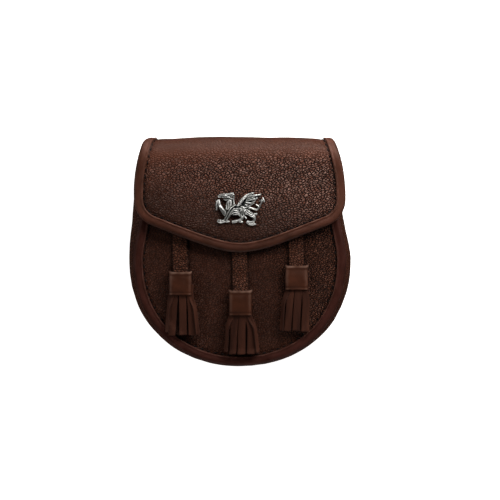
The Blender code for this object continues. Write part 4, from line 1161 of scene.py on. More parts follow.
def flap_spots():
    """Pattern points of the back and flap in rows, from the bottom of the back to the flap's lower edge."""
    across = shares(2 * BACK_EDGE.half, ACROSS_STEP, first=True, last=True)
    back = panel_spots(BACK_EDGE, across, shares(PANEL_HIGH, BACK_STEP, first=True))
    alongs = (TOP_Y + ROLL_LENGTH * shares(ROLL_LENGTH, ROLL_STEP)[1:])[:, None]
    over = points_at((2.0 * across - 1.0) * flap_half(alongs), alongs)
    edge, corner = right_edge_points()
    roll_end = int(np.argmax(edge[:, 1] >= TOP_Y + ROLL_LENGTH))
    top = (edge[roll_end][0], TOP_Y + ROLL_LENGTH)
    side = np.concatenate([[top], edge[roll_end + 1:corner + 1]])
    low = np.concatenate([mirrored(edge[corner:]), edge[corner:-1][::-1]])
    lines = (route(line) for line in ([mirrored(top), top], low, mirrored(side), side))
    flap = patch(*lines, across, shares(TOP_Y, FLAP_STEP, last=True)[1:])
    return np.concatenate([back, over, flap])


class SPORRAN_OT_back_and_flap(bpy.types.Operator):
    """Build the back, the roll over the top and the flap from one piece of pebbled leather"""

    bl_idname = "sporran.back_and_flap"
    bl_label = "Back and Flap"

    def execute(self, context):
        spots = flap_spots()
        x, along = spots[..., 0], spots[..., 1]
        front_y, turn = over_roll(along), (along - TOP_Y) / ROLL_LENGTH
        distance = inside(spots, flap_pattern_edge())
        surface = off_leather(spots, flap_relief(x, along, distance))
        tight = smooth(0.10, 0.35, turn) * (1.0 - smooth(0.80, 1.16, turn))
        grain = np.where(along < TOP_Y, BACK_GRAIN, grain_strength(x, front_y)) * (1.0 - 0.85 * tight)
        dye = ROLL_DYE * smooth(0.10, 0.35, turn) * (1.0 - smooth(0.76, 0.98, turn))
        # Painted shade: the lower flap is darkened, more towards its left.
        dye = dye + LOW_FLAP_SHADE * smooth(60.0 * MM, 25.0 * MM, front_y + x / 5) * (along > TOP_Y)
        # Painted shade darkens the groove beside the binding.
        bm = laid(surface, spots, {GRAIN: grain, WEAR_AND_PAINTED_LIGHT: bump(distance, SEAM_GROOVE_SHADE) - dye}, flip=True)
        add_wall("back_and_flap", bm, flap_leather, PANEL)
        return {"FINISHED"}


def strap_middle(tassel, low, y):
    """X of a strap's middle, which wanders from its top to its collar at low."""
    return tassel.strap_x + (tassel.collar_x - tassel.strap_x) * smooth(tassel.strap_top, low, y)


class SPORRAN_OT_front(bpy.types.Operator):
    """Build the round, domed front panel"""

    bl_idname = "sporran.front_panel"
    bl_label = "Front Panel"

    def execute(self, context):
        across = shares(2 * FRONT_EDGE.half, FRONT_STEP, first=True, last=True)
        spots = panel_spots(FRONT_EDGE, across, shares(PANEL_HIGH, FRONT_STEP, first=True))
        x, y = spots[..., 0], spots[..., 1]
        distance = inside(spots, outline_points(FRONT_EDGE))
        # Painted shadow: the front is darkened just below the flap's edge.
        flap_shadow = smooth(7.0 * MM, 0.0, slanted_edge(x) - BIND_OUT - y)
        # Painted shade darkens the groove beside the binding.
        wear = bump(distance, SEAM_GROOVE_SHADE) - 0.45 * flap_shadow
        # Painted shade: the front is darkened beside each strap.
        for tassel in TASSELS:
            aside = np.abs(x - strap_middle(tassel, tassel.collar_top, y)) - STRAP_WIDTH / 2
            above = smooth(-3.0 * MM, 3.0 * MM, y - tassel.collar_top)
            wear = wear + bump(aside, STRAP_SIDE_SHADE) * above
        surface = points_at(x, y, front_height(x, y) + seam_relief(distance))
        bm = laid(surface, spots, {GRAIN: front_grain(x, y), WEAR_AND_PAINTED_LIGHT: np.maximum(wear, -0.9)})
        add_wall("front_panel", bm, front_leather, PANEL)
        return {"FINISHED"}


def gusset_half(line, stations, face_z, up, crest):
    """From one seam's edge to the crest: a flange under the panel, a turn back and the swell outwards."""
    depth = PANEL + GAP + GUSSET / 2
    flange = [(0.0, 0.0), (-FLANGE / 2, 0.0)] + [(-FLANGE, turn) for turn in np.linspace(0.0, math.pi, 9)]
    columns = []
    for out, turn in flange:
        z = face_z - up * (depth + FLANGE_TURN * (1.0 - math.cos(turn)))
        columns.append(lifted(beside(line, stations, out - FLANGE_TURN * math.sin(turn)), z))
    start = columns[-1]
    for turn in np.linspace(0.0, math.pi / 2, 19)[1:]:
        columns.append(start + (crest - start) * (math.sin(turn), math.sin(turn), 1.0 - math.cos(turn)))
    return columns


class SPORRAN_OT_gusset(bpy.types.Operator):
    """Build the strip round the sides and bottom, with the soft folds of leather eased round a curve"""

    bl_idname = "sporran.gusset"
    bl_label = "Gusset"

    def execute(self, context):
        stations = np.linspace(0.0, 1.0, GUSSET_STATIONS)
        back_z = back_edge_height(BACK_LINE(stations)[:, 1])
        crest = lifted(beside(CREST_LINE, stations, -GUSSET / 2), (FRONT_Z + back_z) / 2)
        front = gusset_half(FRONT_LINE, stations, FRONT_Z, 1, crest)
        back = gusset_half(BACK_LINE, stations, back_z, -1, crest)
        spots = np.stack(front + back[-2::-1], 1)
        across = np.concatenate([[0.0], np.cumsum(np.linalg.norm(np.diff(spots, axis=1), axis=2).mean(0))])
        along = (length(outline_points(CREST)) * stations)[:, None]
        last = len(across) - 1
        swell = np.clip((np.arange(last + 1) - FLANGE_COLUMNS) / (last - 2 * FLANGE_COLUMNS), 0.0, 1.0)
        body = np.sin(math.pi * swell)
        eased = 0.35 + 0.65 * smooth(0.0, 0.75, np.abs(body - 0.5) * 2)
        folds = FOLD_DEPTH * np.abs(lumps(along, across, 15 * MM, 21)) * eased * np.sqrt(body)
        sag = SAG_DEPTH * (0.5 + 0.5 * lumps(along, 2 * across, 40 * MM, 22)) * body
        end = smooth(0.0, 1.0, 1.0 - np.minimum(stations, 1.0 - stations) / TONGUE_SHARE)[:, None]
        inward = folds + sag + END_DRAWN_IN * end ** 2 * body
        outward = beside(CREST_LINE, stations, 1.0) - CREST_LINE(stations)
        spots[..., :2] -= outward[:, None] * inward[..., None]
        spots[..., 1] += TONGUE * end * body ** 2
        bm = laid(spots, points_at(across, along), {GRAIN: GUSSET_GRAIN})
        add_wall("gusset", bm, gusset_leather, GUSSET, offset=0.0)
        return {"FINISHED"}


Section = namedtuple("Section", "loop along shown rub stain")


def binding_section(stack, inner_leg, relief=1.0):
    """A binding folded over a stack of leather, as a closed loop of (outside the edge, above the outer face).

    relief is the share of its ridge, dip and crown that it keeps.
    """
    above = GAP + BINDING / 2
    radius = above + stack / 2
    centre = BIND_OUT - BINDING / 2 - radius
    leg = np.linspace(-BIND_IN, centre, 24)
    turns = np.linspace(0.0, math.pi, 33)[1:]
    middle = np.concatenate([
        points_at(leg, above - bump(leg, (NOSE_DROP, -BIND_IN, 0.9 * MM))),
        points_at(centre + radius * np.sin(turns), -stack / 2 + radius * np.cos(turns)),
        [(-inner_leg, -stack - above)],
    ])
    line, span = route(middle), length(middle)
    walk = 0.5 - 0.5 * np.cos(np.linspace(0.0, math.pi, 41))
    shown = np.minimum(np.minimum(walk, 1.0 - walk) * span / NOSE_ROUND, 1.0)
    half = BINDING / 2 * np.sqrt(1.0 - (1.0 - shown) ** 2)
    outer = beside(line, walk, -half - relief * shown * bump(walk * span, RIDGE, DIP, CROWN))
    loop = np.concatenate([outer, beside(line, walk, half)[-2::-1]])
    hidden = np.zeros(len(walk) - 1)
    # Marks across the strip: painted highlight on the ridge and painted shade on the fold.
    marks = (np.concatenate([mark, hidden]) for mark in (
        shown, bump(walk * span, RIDGE_HIGHLIGHT), bump(walk * span, FOLD_SHADE),
    ))
    return Section(loop, walked(loop), *marks)


def add_binding(name, section, stations, span, place, ridge_light):
    """Sweep a binding along its stations, with small puffs between its stitches, and add it.

    ridge_light gives how strong the painted highlight on its ridge is at each share of its length; the whole
    strip is painted darker where it is stronger.
    """
    share = np.linspace(0.0, 1.0, stations)[:, None]
    out, up = section.loop.T
    count = max(1, round(span / bpy.context.scene.sporran_sizes.stitch_pitch))
    near_seam = section.shown * bump(out, (1.0, RIDGE[1] - BIND_IN, MM))
    puff = PUFF * np.cos(2.0 * math.pi * count * share) * near_seam
    waver = WAVER * lumps(share * span, 0.0, 60 * MM, 31)
    patchy = 0.75 + 0.25 * lumps(share * span, 0.0, 11 * MM, 32)
    rub = ridge_light(share)
    # Painted highlight on the ridge and painted shade on the fold, varied at random, with the strip painted
    # darker where its ridge highlight is stronger.
    wear = (section.rub * rub + section.stain) * patchy + 0.09 - 0.38 * rub
    surface = place(share, out + waver, up + puff)
    bm = laid(surface, points_at(section.along, share * span), {WEAR_AND_PAINTED_LIGHT: wear}, tube=True, capped=True)
    leather = binding_leather if name == "flap_binding" else seam_binding_leather
    add_piece(f"{name}_strip", bm, (leather,), [name])


def add_seam_binding(name, line, outline, face_height, up, relief):
    """A binding over the edges of a panel and the gusset, from one top end round to the other."""
    def place(share, out, above):
        return lifted(beside(line, share, out), face_height(line(share)[..., 1]) + up * above)

    section = binding_section(PANEL + GAP + GUSSET, SEAM_LEG, relief)
    span = length(outline_points(outline))
    add_binding(name, section, SEAM_STATIONS, span, place, lambda share: SEAM_RIDGE_LIGHT)


def flap_edge_line():
    """The flap's edge in the pattern, from the back's left seam over the tip to its right seam."""
    edge, _ = right_edge_points()
    edge[0, 1] = TOP_Y + 2 * GAP
    return np.concatenate([mirrored(edge), edge[:-1][::-1]])


class SPORRAN_OT_bindings(bpy.types.Operator):
    """Fold a smooth strip over the edges of the front, the back and the flap"""

    bl_idname = "sporran.bindings"
    bl_label = "Bindings"

    def execute(self, context):
        add_seam_binding("front_binding", FRONT_LINE, FRONT_EDGE, lambda y: FRONT_Z, 1, 1.0)
        add_seam_binding("back_binding", BACK_LINE, BACK_EDGE, back_edge_height, -1, 0.0)
        points = flap_edge_line()
        line = route(points)

        def place(share, out, above):
            return off_leather(beside(line, share, -out), above)

        # Painted highlight on the ridge, strongest along the flap's lower edge round its tip.
        def ridge_light(share):
            return 0.12 + 0.88 * smooth(0.26, 0.36, 0.5 - np.abs(share - 0.5))

        section = binding_section(PANEL, FLAP_LEG)
        add_binding("flap_binding", section, FLAP_STATIONS, length(points), place, ridge_light)
        return {"FINISHED"}


def add_stitches(name, path, outward):
    """Sew along a path of points with their outward directions: separate stitches, slanted a little."""
    sizes = bpy.context.scene.sporran_sizes
    walk, facing = route(path), route(path, outward)
    count = max(1, round(length(path) / sizes.stitch_pitch))
    reach = sizes.stitch_length / 2 / length(path)
    draw = np.random.default_rng(count)
    bm = bmesh.new()
    for i in range(count):
        middle = (i + 0.5) / count + draw.normal(0.0, 0.04) / count
        ahead = Vector(walk(min(middle + reach, 1.0)) - walk(max(middle - reach, 0.0))).normalized()
        up = Vector(facing(middle)).normalized()
        slant = math.radians(7 + draw.normal(0.0, 2.0))
        ahead = (Matrix.Rotation(slant, 3, up) @ ahead).normalized()
        half = sizes.stitch_length / 2 * draw.uniform(0.92, 1.06)
        turn = Matrix((up.cross(ahead).normalized(), up, ahead)).transposed().to_4x4()
        spread = Matrix.Diagonal((sizes.thread / 2, sizes.thread / 2, half, 1.0))
        matrix = Matrix.Translation(walk(middle)) @ turn @ spread
        bmesh.ops.create_uvsphere(bm, u_segments=8, v_segments=6, radius=1.0, matrix=matrix)
    add_piece(f"{name}_stitches", bm, (waxed_thread,))


class SPORRAN_OT_stitches(bpy.types.Operator):
    """Sew the seams of the front, the back and the flap, stitch by stitch"""

    bl_idname = "sporran.stitches"
    bl_label = "Stitches"

    def execute(self, context):
        sunk = -SEAM_DIP - PRESSED + STITCH_SUNK * context.scene.sporran_sizes.thread
        seams = (
            ("front_seam", FRONT_LINE, front_height, sunk, 1.0),
            ("back_seam", BACK_LINE, back_height, -0.6 * sunk, -1.0),
        )
        for name, line, height, rise, up in seams:
            spots = beside(line, np.linspace(SEW_FROM, SEW_TO, SEAM_POINTS), -SEAM_IN)
            path = lifted(spots, height(*spots.T) + rise)
            add_stitches(name, path, np.tile((0.0, 0.0, up), (len(path), 1)))
        spots = beside(route(flap_edge_line()), np.linspace(SEW_FROM, SEW_TO, FLAP_POINTS), SEAM_IN)
        add_stitches("flap_seam", off_leather(spots, sunk), leather_outward(*spots.T))
        return {"FINISHED"}


class SPORRAN_OT_straps(bpy.types.Operator):
    """Build the three straps that come down from under the flap into their collars"""

    bl_idname = "sporran.tassel_straps"
    bl_label = "Tassel Straps"

    def execute(self, context):
        across = np.linspace(-0.5, 0.5, 15)
        for tassel in TASSELS:
            end = tassel.collar_top - STRAP_TUCK
            y = np.linspace(end, tassel.strap_top, 61)[:, None]
            x = strap_middle(tassel, end, y) + STRAP_WIDTH * across
            climb = (COLLAR + 1.5 * GAP) * (1.0 - smooth(STRAP_LEVEL, STRAP_LIFT, y - tassel.collar_top))
            crown = -STRAP_CROWN * np.abs(2.0 * across) ** 6 + STRAP_SLACK * lumps(x, y, 17 * MM, 41)
            surface = points_at(x, y, lying_height(x, y) + climb + STRAP + crown)
            # Painted shade darkens the strap's sides.
            bm = laid(surface, points_at(x, y), {GRAIN: 0.9, WEAR_AND_PAINTED_LIGHT: -0.6 * np.abs(2.0 * across) ** 12})
            add_wall(f"tassel_strap_{tassel.name}", bm, strap_leather, STRAP,
                     rounding=0.35 * MM)
        return {"FINISHED"}


def rounded_square(angle):
    """A point of a rounded square that reaches 1 each way."""
    across, up = np.cos(angle), np.sin(angle)
    size = (np.abs(across) ** SQUARE + np.abs(up) ** SQUARE) ** (-1.0 / SQUARE)
    return across * size, up * size


class SPORRAN_OT_collars(bpy.types.Operator):
    """Roll a smooth strip round each strap's end and the head of its fringe"""

    bl_idname = "sporran.collars"
    bl_label = "Collars"

    def execute(self, context):
        angle = np.linspace(0.0, 2.0 * math.pi, COLLAR_TURNS)
        down = np.array(COLLAR_ROWS)[:, None]
        across, up = rounded_square(angle)
        flat, aside, on_front = across * COLLAR_WIDTH / 2, np.abs(across), smooth(-0.2, 0.8, up)
        around = angle / (2.0 * math.pi) * 2.0 * (COLLAR_WIDTH + COLLAR_THICK)
        for seed, tassel in enumerate(TASSELS):
            far = down * tassel.collar_high
            left = tassel.collar_high - far
            slack = COLLAR_SLACK * lumps(flat, far, 13 * MM, 50 + seed)
            swell = bump(far, *MOUTH_RELIEF) + bump(left, END_RELIEF) + slack
            ears = COLLAR_EARS * aside ** 10 * on_front * (1.0 - down) ** 6
            x = tassel.collar_x + across * (COLLAR_WIDTH / 2 + swell)
            y = tassel.collar_top - far + ears
            lying = lying_height(tassel.collar_x + flat, tassel.collar_top - far)
            z = lying + (1.0 + up) * COLLAR_THICK / 2 + up * swell * on_front
            patchy = 0.7 + 0.45 * lumps(flat, far, 7 * MM, 60 + seed)
            # Painted highlight along the mouth's rim and painted shade below it, darker towards the lower
            # end, painted shade in the crease near the end with a painted highlight below it, and painted
            # highlight and shade towards the rounded sides; patchy varies them at random.
            wear = bump(far, MOUTH_HIGHLIGHT) * patchy + bump(far, UNDER_MOUTH_SHADE) + 0.10 * patchy - 0.18 * down
            wear = wear + bump(left, *END_SHADE_AND_HIGHLIGHT) + bump(aside, *SIDE_HIGHLIGHT_AND_SHADE)
            bm = laid(points_at(x, y, z), points_at(around, far), {WEAR_AND_PAINTED_LIGHT: wear}, tube=True)
            add_wall(f"tassel_collar_{tassel.name}", bm, collar_leather, COLLAR,
                     rounding=0.4 * MM)
        return {"FINISHED"}


def strand_bm(tassel, strand, layer, draw):
    """One strand of a fringe, as a strip from inside its collar to its square-cut end."""
    bottom = tassel.collar_top - tassel.collar_high
    end_y = tassel.end_y + strand.short * MM
    y = np.linspace(bottom + STRAND_TUCK, end_y, 25)[:, None]
    across = np.linspace(-0.5, 0.5, 6)
    fallen = np.clip((bottom - y) / (bottom - end_y), 0.0, 1.0)
    flared = smooth(bottom + 2.0 * MM, bottom - 13.0 * MM, y)
    spread = (strand.flare - strand.top) * flared + (strand.end - strand.flare) * fallen ** 1.15
    sway = STRAND_SWAY * np.sin(fallen * draw.uniform(3.0, 6.0) + draw.uniform(0.0, 6.0)) * fallen
    middle = (strand.top + spread) * MM + sway
    wide = (strand.wide_top + (strand.wide_end - strand.wide_top) * fallen) * MM
    lean = math.radians(strand.lean) * flared + math.radians(draw.normal(0.0, 3.0)) * fallen
    at_collar, below, at_end = (height * MM for height in LAYERS_MM[layer])
    high = at_collar + (below - at_collar) * flared + (at_end - below) * fallen
    curl = STRAND_CURL * draw.uniform(-0.6, 1.0) * fallen ** 3
    cup = STRAND_CUP * draw.uniform(-1.0, 1.0) * (4.0 * across ** 2 - 0.5)
    askew = STRAND_ASKEW * draw.uniform(-1.0, 1.0) * across * fallen ** 8
    x = middle + across * wide * np.cos(lean)
    clear = np.maximum(high, np.abs(np.sin(lean)) * wide / 2 + 0.6 * MM)
    z = lying_height(x, y) + clear + across * wide * np.sin(lean) + (curl + cup) * np.cos(lean)
    pattern = points_at(across * wide + draw.uniform(0.0, 0.2), y)
    # Painted shade: the two lower layers are darkened below the collar, under the top layer.
    under = -0.7 * (layer < 2) * smooth(bottom - 2.0 * MM, bottom - 6.0 * MM, y)
    return laid(points_at(x, y + askew, z), pattern, {WEAR_AND_PAINTED_LIGHT: under}, flip=True)


class SPORRAN_OT_fringes(bpy.types.Operator):
    """Cut the fringes: three layers of flat strands that hang out of each collar"""

    bl_idname = "sporran.fringes"
    bl_label = "Fringes"

    def execute(self, context):
        for seed, tassel in enumerate(TASSELS):
            draw = np.random.default_rng(70 + seed)
            strands = [(strand, 2) for strand in FRONT_STRANDS_MM[tassel.name]]
            for layer in (0, 1):
                for i in range(LOWER_STRANDS):
                    share = (i + 0.5 + LAYER_SHIFT * layer) / (LOWER_STRANDS + LAYER_SHIFT)
                    top = tassel.collar_x / MM + 12.6 * (share - 0.5)
                    wide = tassel.end_right - tassel.end_left
                    end = (tassel.end_left + wide * (0.09 + 0.82 * share)) / MM
                    short, lean = draw.uniform(0.6, 2.4), draw.normal(0.0, 3.0)
                    strands.append((Strand(top, top + 0.3 * (end - top), end, 4.0, 5.2, short, lean), layer))
            whole = bmesh.new()
            for strand, layer in strands:
                part = as_mesh("strand", strand_bm(tassel, strand, layer, draw))
                whole.from_mesh(part)
                bpy.data.meshes.remove(part)
            add_wall(f"tassel_fringe_{tassel.name}", whole, fringe_leather,
                     context.scene.sporran_sizes.strand, offset=0.0, rounding=0.18 * MM, kind="strands",
                     back=fringe_leather)
        return {"FINISHED"}


def rounded(points):
    """A line of points with its corners cut three times over."""
    points = np.array(points, float)
    for _ in range(3):
        near, far = 0.75 * points[:-1] + 0.25 * points[1:], 0.25 * points[:-1] + 0.75 * points[1:]
        cut = np.stack([near, far], 1).reshape(-1, points.shape[1])
        points = np.concatenate([points[:1], cut, points[-1:]])
    return points


def stroke(x, y, half, points):
    """1 on a line through points in millimetres, fading out over half its width."""
    points = rounded(np.array(points) * MM)
    near = np.full_like(x, np.inf)
    for start, way in zip(points[:-1], np.diff(points, axis=0)):
        share = np.clip(((x - start[0]) * way[0] + (y - start[1]) * way[1]) / (way @ way), 0.0, 1.0)
        off_x, off_y = x - start[0] - share * way[0], y - start[1] - share * way[1]
        near = np.minimum(near, off_x ** 2 + off_y ** 2)
    return np.exp(-near / (half * MM) ** 2)


def arm_bars():
    """Short lines across the wing's arm, slanting like the wraps of a cord."""
    arm = route(WING_ARM_MM)
    for share in np.linspace(0.05, 0.95, ARM_BARS):
        middle, ahead = arm(share), unit(arm(share + 0.02) - arm(share - 0.02))
        side = 1.1 * np.array([ahead[1], -ahead[0]]) + 0.5 * ahead
        yield middle - side, middle + side


def taken(thing):
    """The mesh of an object once its modifiers and bevels are worked out. The object goes."""
    bpy.context.view_layer.update()
    mesh = bpy.data.meshes.new_from_object(thing.evaluated_get(bpy.context.evaluated_depsgraph_get()))
    bpy.data.objects.remove(thing)
    return mesh


def badge_model():
    """The dragon's limbs and its wing's skin as one mesh, before they are cast as one body."""
    curve = bpy.data.curves.new("badge_limbs", "CURVE")
    curve.dimensions = "3D"
    curve.bevel_depth = MM
    curve.bevel_resolution = 5
    curve.use_fill_caps = True
    for _, height, points in BADGE_LIMBS:
        spline = curve.splines.new("NURBS")
        spline.points.add(len(points) - 1)
        for knot, (x, y, radius) in zip(spline.points, points):
            knot.co = (x * MM, y * MM, height * MM, 1.0)
            knot.radius = radius
        spline.order_u = min(3, len(points))
        spline.resolution_u = 8
        spline.use_endpoint_u = True
    mesh = taken(put("badge_limbs", curve))
    bm = bmesh.new()
    skin = bm.faces.new([bm.verts.new((x * MM, y * MM, 0.0)) for x, y in WING_SKIN])
    raised = bmesh.ops.extrude_face_region(bm, geom=[skin])["geom"]
    bmesh.ops.translate(bm, vec=(0.0, 0.0, WING_SKIN_THICK * MM),
                        verts=[part for part in raised if isinstance(part, bmesh.types.BMVert)])
    bmesh.ops.recalc_face_normals(bm, faces=bm.faces)
    bm.from_mesh(mesh)
    bm.to_mesh(mesh)
    bm.free()
    return mesh


def even_out(values, edges, times):
    """Each vertex's value averaged with its neighbours', times over."""
    count = np.bincount(edges.ravel(), minlength=len(values)).astype(float)
    for _ in range(times):
        total = np.bincount(edges[:, 0], weights=values[edges[:, 1]], minlength=len(values))
        total += np.bincount(edges[:, 1], weights=values[edges[:, 0]], minlength=len(values))
        values = 0.5 * values + 0.5 * total / count
    return values


class SPORRAN_OT_badge(bpy.types.Operator):
    """Cast the dragon badge as one body, cut its fine lines and mark its hollows for the patina"""

    bl_idname = "sporran.badge"
    bl_label = "Dragon Badge"

    def execute(self, context):
        model = put("badge_model", badge_model())
        cast = model.modifiers.new("Cast", "REMESH")
        cast.mode = "VOXEL"
        cast.voxel_size = BADGE_VOXEL
        mesh = taken(model)
        co = np.empty(len(mesh.vertices) * 3)
        mesh.vertices.foreach_get("co", co)
        edges = np.empty(len(mesh.edges) * 2, np.int32)
        mesh.edges.foreach_get("vertices", edges)
        edges = edges.reshape(-1, 2)
        x, y, z = (even_out(column, edges, 3) for column in co.reshape(-1, 3).T)
        z = BADGE_TALL * np.tanh(z / BADGE_TALL)
        relief = np.zeros_like(x)
        for _, height, half, points in BADGE_LINES:
            relief = np.maximum(relief, height * MM * stroke(x, y, half, points))
        for points in arm_bars():
            relief = np.maximum(relief, ARM_BAR_TALL * stroke(x, y, 0.2, points))
        for _, depth, half, points in BADGE_CUTS:
            relief -= depth * MM * stroke(x, y, half, points)
        z = np.maximum(z + smooth(0.5 * MM, 1.2 * MM, z) * relief, 0.0)
        hollow = np.clip((even_out(z, edges, HOLLOW_ROUNDS) - z) / HOLLOW_DEPTH + 0.25, 0.0, 1.0)
        hollow = np.maximum(hollow, 0.9 * (1.0 - smooth(0.5 * MM, 1.5 * MM, z)))
        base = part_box("dragon_badge")[0].z
        mesh.vertices.foreach_set("co", points_at(x + BADGE_X, y + BADGE_Y, z + base).ravel())
        mesh.attributes.new(HOLLOW, "FLOAT", "POINT").data.foreach_set("value", hollow)
        mesh.update()
        add_piece("dragon_badge_casting", mesh, (cast_pewter,), ["dragon_badge"], sharp=75.0)
        return {"FINISHED"}


class SPORRAN_OT_snap(bpy.types.Operator):
    """Turn the hidden stud that closes the flap"""

    bl_idname = "sporran.snap"
    bl_label = "Flap Stud"

    def execute(self, context):
        low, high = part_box("flap_snap")
        head, neck, tall = (high.x - low.x) / 2, (high.x - low.x) * 0.29, high.z - low.z
        profile = (
            (0.0, 0.0), (head - 0.5 * MM, 0.0), (head, 0.3 * tall), (head - 0.6 * MM, 0.36 * tall),
            (neck, 0.40 * tall), (neck, 0.62 * tall), (head - 0.9 * MM, 0.66 * tall), (head, 0.74 * tall),
            (head - 0.4 * MM, 0.94 * tall), (head - 1.6 * MM, tall), (0.0, tall),
        )
        bm = bmesh.new()
        spots = [bm.verts.new((radius, SNAP_Y, low.z + z)) for radius, z in profile]
        edges = [bm.edges.new(pair) for pair in zip(spots, spots[1:])]
        bmesh.ops.spin(bm, geom=[*spots, *edges], cent=(0.0, SNAP_Y, 0.0), axis=(0.0, 0.0, 1.0),
                       angle=2.0 * math.pi, steps=48, use_merge=True)
        bmesh.ops.remove_doubles(bm, verts=bm.verts, dist=1e-6)
        bmesh.ops.recalc_face_normals(bm, faces=bm.faces)
        stud = add_piece("flap_snap_stud", bm, (nickel_plate,), ["flap_snap"], sharp=60.0)
        add_edge(stud, "Turned edge", 0.15 * MM, 40)
        return {"FINISHED"}


def ring_spots(side):
    """A D-ring whose bar lies in its tab and whose bow drops to the floor: rows of points round its wire."""
    turns = np.linspace(-math.radians(84), math.radians(84), 61)
    bow = points_at(RING_DEPTH * np.cos(turns) ** 0.8, RING_HALF * np.sin(turns))
    bar_end = RING_HALF - RING_CORNER
    path = route(np.concatenate([[(0.0, -bar_end)], bow, [(0.0, bar_end), (0.0, -bar_end)]]))
    share = np.linspace(0.0, 1.0, 141)[:, None]
    x, y = np.moveaxis(sum(path((share + step) % 1.0) for step in (-0.012, 0.0, 0.012)) / 3.0, -1, 0)
    ahead = unit(path((share + 0.008) % 1.0) - path((share - 0.008) % 1.0))
    angle = np.linspace(0.0, 2.0 * math.pi, 21)
    out, up = RING_WIRE / 2 * np.cos(angle), RING_WIRE / 2 * np.sin(angle)
    local = points_at(x + ahead[..., 1] * out, y - ahead[..., 0] * out, up)
    bar_z = TAB + GAP + RING_WIRE / 2
    droop = math.asin((bar_z - RING_WIRE / 2) / RING_DEPTH)
    facing = 0.0 if side > 0 else math.pi
    turn = np.array(Matrix.Rotation(facing, 3, "Z") @ Matrix.Rotation(droop, 3, "Y"))
    pattern = points_at(angle * RING_WIRE / 2, share * 0.07)
    return local @ turn.T + (side * RING_X, RING_Y, bar_z), pattern


class SPORRAN_OT_rings(bpy.types.Operator):
    """Build the D-rings on the back and the folded tabs that hold them"""

    bl_idname = "sporran.rings"
    bl_label = "D-Rings and Tabs"

    def execute(self, context):
        loop = RING_WIRE / 2 + GAP + TAB / 2
        upper = BACK_RISE - GAP - TAB / 2
        lower = upper - TAB - GAP
        turns = np.linspace(0.0, math.pi, 17)
        bend = points_at(RING_X + loop * np.sin(turns), upper - loop * (1.0 - np.cos(turns)))
        end = RING_X - TAB_LENGTH
        profile = np.concatenate([
            np.linspace((end, upper), bend[0], 18)[:-1], bend, np.linspace(bend[-1], (end, lower), 18)[1:],
        ])
        width = np.linspace(-TAB_HALF, TAB_HALF, 15)[:, None]
        reach = TAB_HALF - TAB_SEAM_SIDE
        thread = context.scene.sporran_sizes.thread
        face = max(lower - TAB / 2 - 0.12 * thread, 0.45 * thread)
        for name, side in (("left", -1), ("right", 1)):
            surface = points_at(side * profile[:, 0], RING_Y + width, profile[:, 1])
            bm = laid(surface, points_at(walked(profile), width), {GRAIN: 1.0}, flip=side < 0)
            add_wall(f"ring_tab_{name}", bm, strap_leather, TAB, offset=0.0)
            bm = laid(*ring_spots(side), tube=True)
            add_piece(f"ring_{name}_wire", bm, (nickel_plate,), [f"ring_{name}"])
            inner, outer = side * (end + TAB_SEAM_END), side * (RING_X - TAB_SEAM_RING)
            corners = [(outer, -reach), (inner, -reach), (inner, reach), (outer, reach), (outer, -reach)]
            walk = route(corners)(np.linspace(0.0, 1.0, 300))
            path = lifted(walk + (0.0, RING_Y), face)
            add_stitches(f"ring_tab_{name}", path, np.tile((0.0, 0.0, -1.0), (len(path), 1)))
        return {"FINISHED"}


def add_softbox(name, place, size, power):
    """A square softbox that faces the pouch."""
    light = bpy.data.lights.new(name, "AREA")
    light.shape = "RECTANGLE"
    light.size, light.size_y = size
    light.energy = power
    lamp = put(name, light)
    lamp.location = place
    lamp.rotation_mode = "QUATERNION"
    lamp.rotation_quaternion = (Vector((0.0, 0.0, 0.03)) - Vector(place)).to_track_quat("-Z", "Y")
    lamp.visible_camera = False


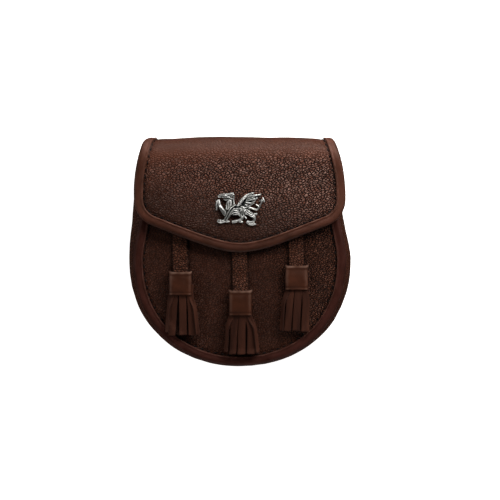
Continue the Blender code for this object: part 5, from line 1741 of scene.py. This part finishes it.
class SPORRAN_OT_stage(bpy.types.Operator):
    """Set the floor, the camera straight above the pouch and the soft lights round it"""

    bl_idname = "sporran.stage"
    bl_label = "Stage"

    def execute(self, context):
        scene, settings = context.scene, context.scene.sporran_stage
        bm = bmesh.new()
        bmesh.ops.create_grid(bm, x_segments=1, y_segments=1, size=6.0)
        floor = put("studio_floor", as_mesh("studio_floor", bm))
        floor.data.materials.append(studio_floor())
        floor.location.z = FLOOR_Z
        floor.visible_glossy = False
        camera = put("camera", bpy.data.cameras.new("camera"))
        camera.data.sensor_width = 36.0
        camera.data.lens = settings.lens
        camera.location = (CAMERA_X, CAMERA_Y, settings.camera_height)
        scene.camera = camera
        for name, place, size in SOFTBOXES:
            add_softbox(f"{name}_softbox", place, size, getattr(settings, name))
        world = bpy.data.worlds.new("studio")
        world.use_nodes = True
        tree = world.node_tree
        seen = add(tree, "LightPath", output="Is Camera Ray")
        fill(tree, tree.nodes["Background"], {
            "Color": (1.0, 1.0, 1.0, 1.0),
            "Strength": add(tree, "MapRange", {"Value": seen, "To Min": 0.03, "To Max": 1.0}),
        })
        scene.world = world
        scene.view_settings.view_transform = "Standard"
        return {"FINISHED"}


class SPORRAN_PT_pouch(bpy.types.Panel):
    """Sidebar panel with the pouch's settings and its build steps"""

    bl_idname = "SPORRAN_PT_pouch"
    bl_label = "Sporran Pouch"
    bl_space_type = "VIEW_3D"
    bl_region_type = "UI"
    bl_category = "Sporran"

    def draw(self, context):
        scene = context.scene
        for group in (scene.sporran_sizes, scene.sporran_colours, scene.sporran_stage):
            box = self.layout.box()
            for name in group.__annotations__:
                box.prop(group, name)
        for step in STEPS:
            self.layout.operator(step.bl_idname)


STEPS = (
    SPORRAN_OT_stage,
    SPORRAN_OT_back_and_flap,
    SPORRAN_OT_front,
    SPORRAN_OT_gusset,
    SPORRAN_OT_bindings,
    SPORRAN_OT_stitches,
    SPORRAN_OT_straps,
    SPORRAN_OT_collars,
    SPORRAN_OT_fringes,
    SPORRAN_OT_badge,
    SPORRAN_OT_snap,
    SPORRAN_OT_rings,
)
GROUPS = (SporranSizes, SporranColours, SporranStage)


def register():
    for kind in (*GROUPS, *STEPS, SPORRAN_PT_pouch):
        bpy.utils.register_class(kind)
    bpy.types.Scene.sporran_sizes = PointerProperty(type=SporranSizes)
    bpy.types.Scene.sporran_colours = PointerProperty(type=SporranColours)
    bpy.types.Scene.sporran_stage = PointerProperty(type=SporranStage)


def unregister():
    del bpy.types.Scene.sporran_stage
    del bpy.types.Scene.sporran_colours
    del bpy.types.Scene.sporran_sizes
    for kind in (SPORRAN_PT_pouch, *reversed(STEPS), *reversed(GROUPS)):
        bpy.utils.unregister_class(kind)


def main():
    register()
    for step in STEPS:
        folder, name = step.bl_idname.split(".")
        getattr(getattr(bpy.ops, folder), name)()


if __name__ == "__main__":
    main()
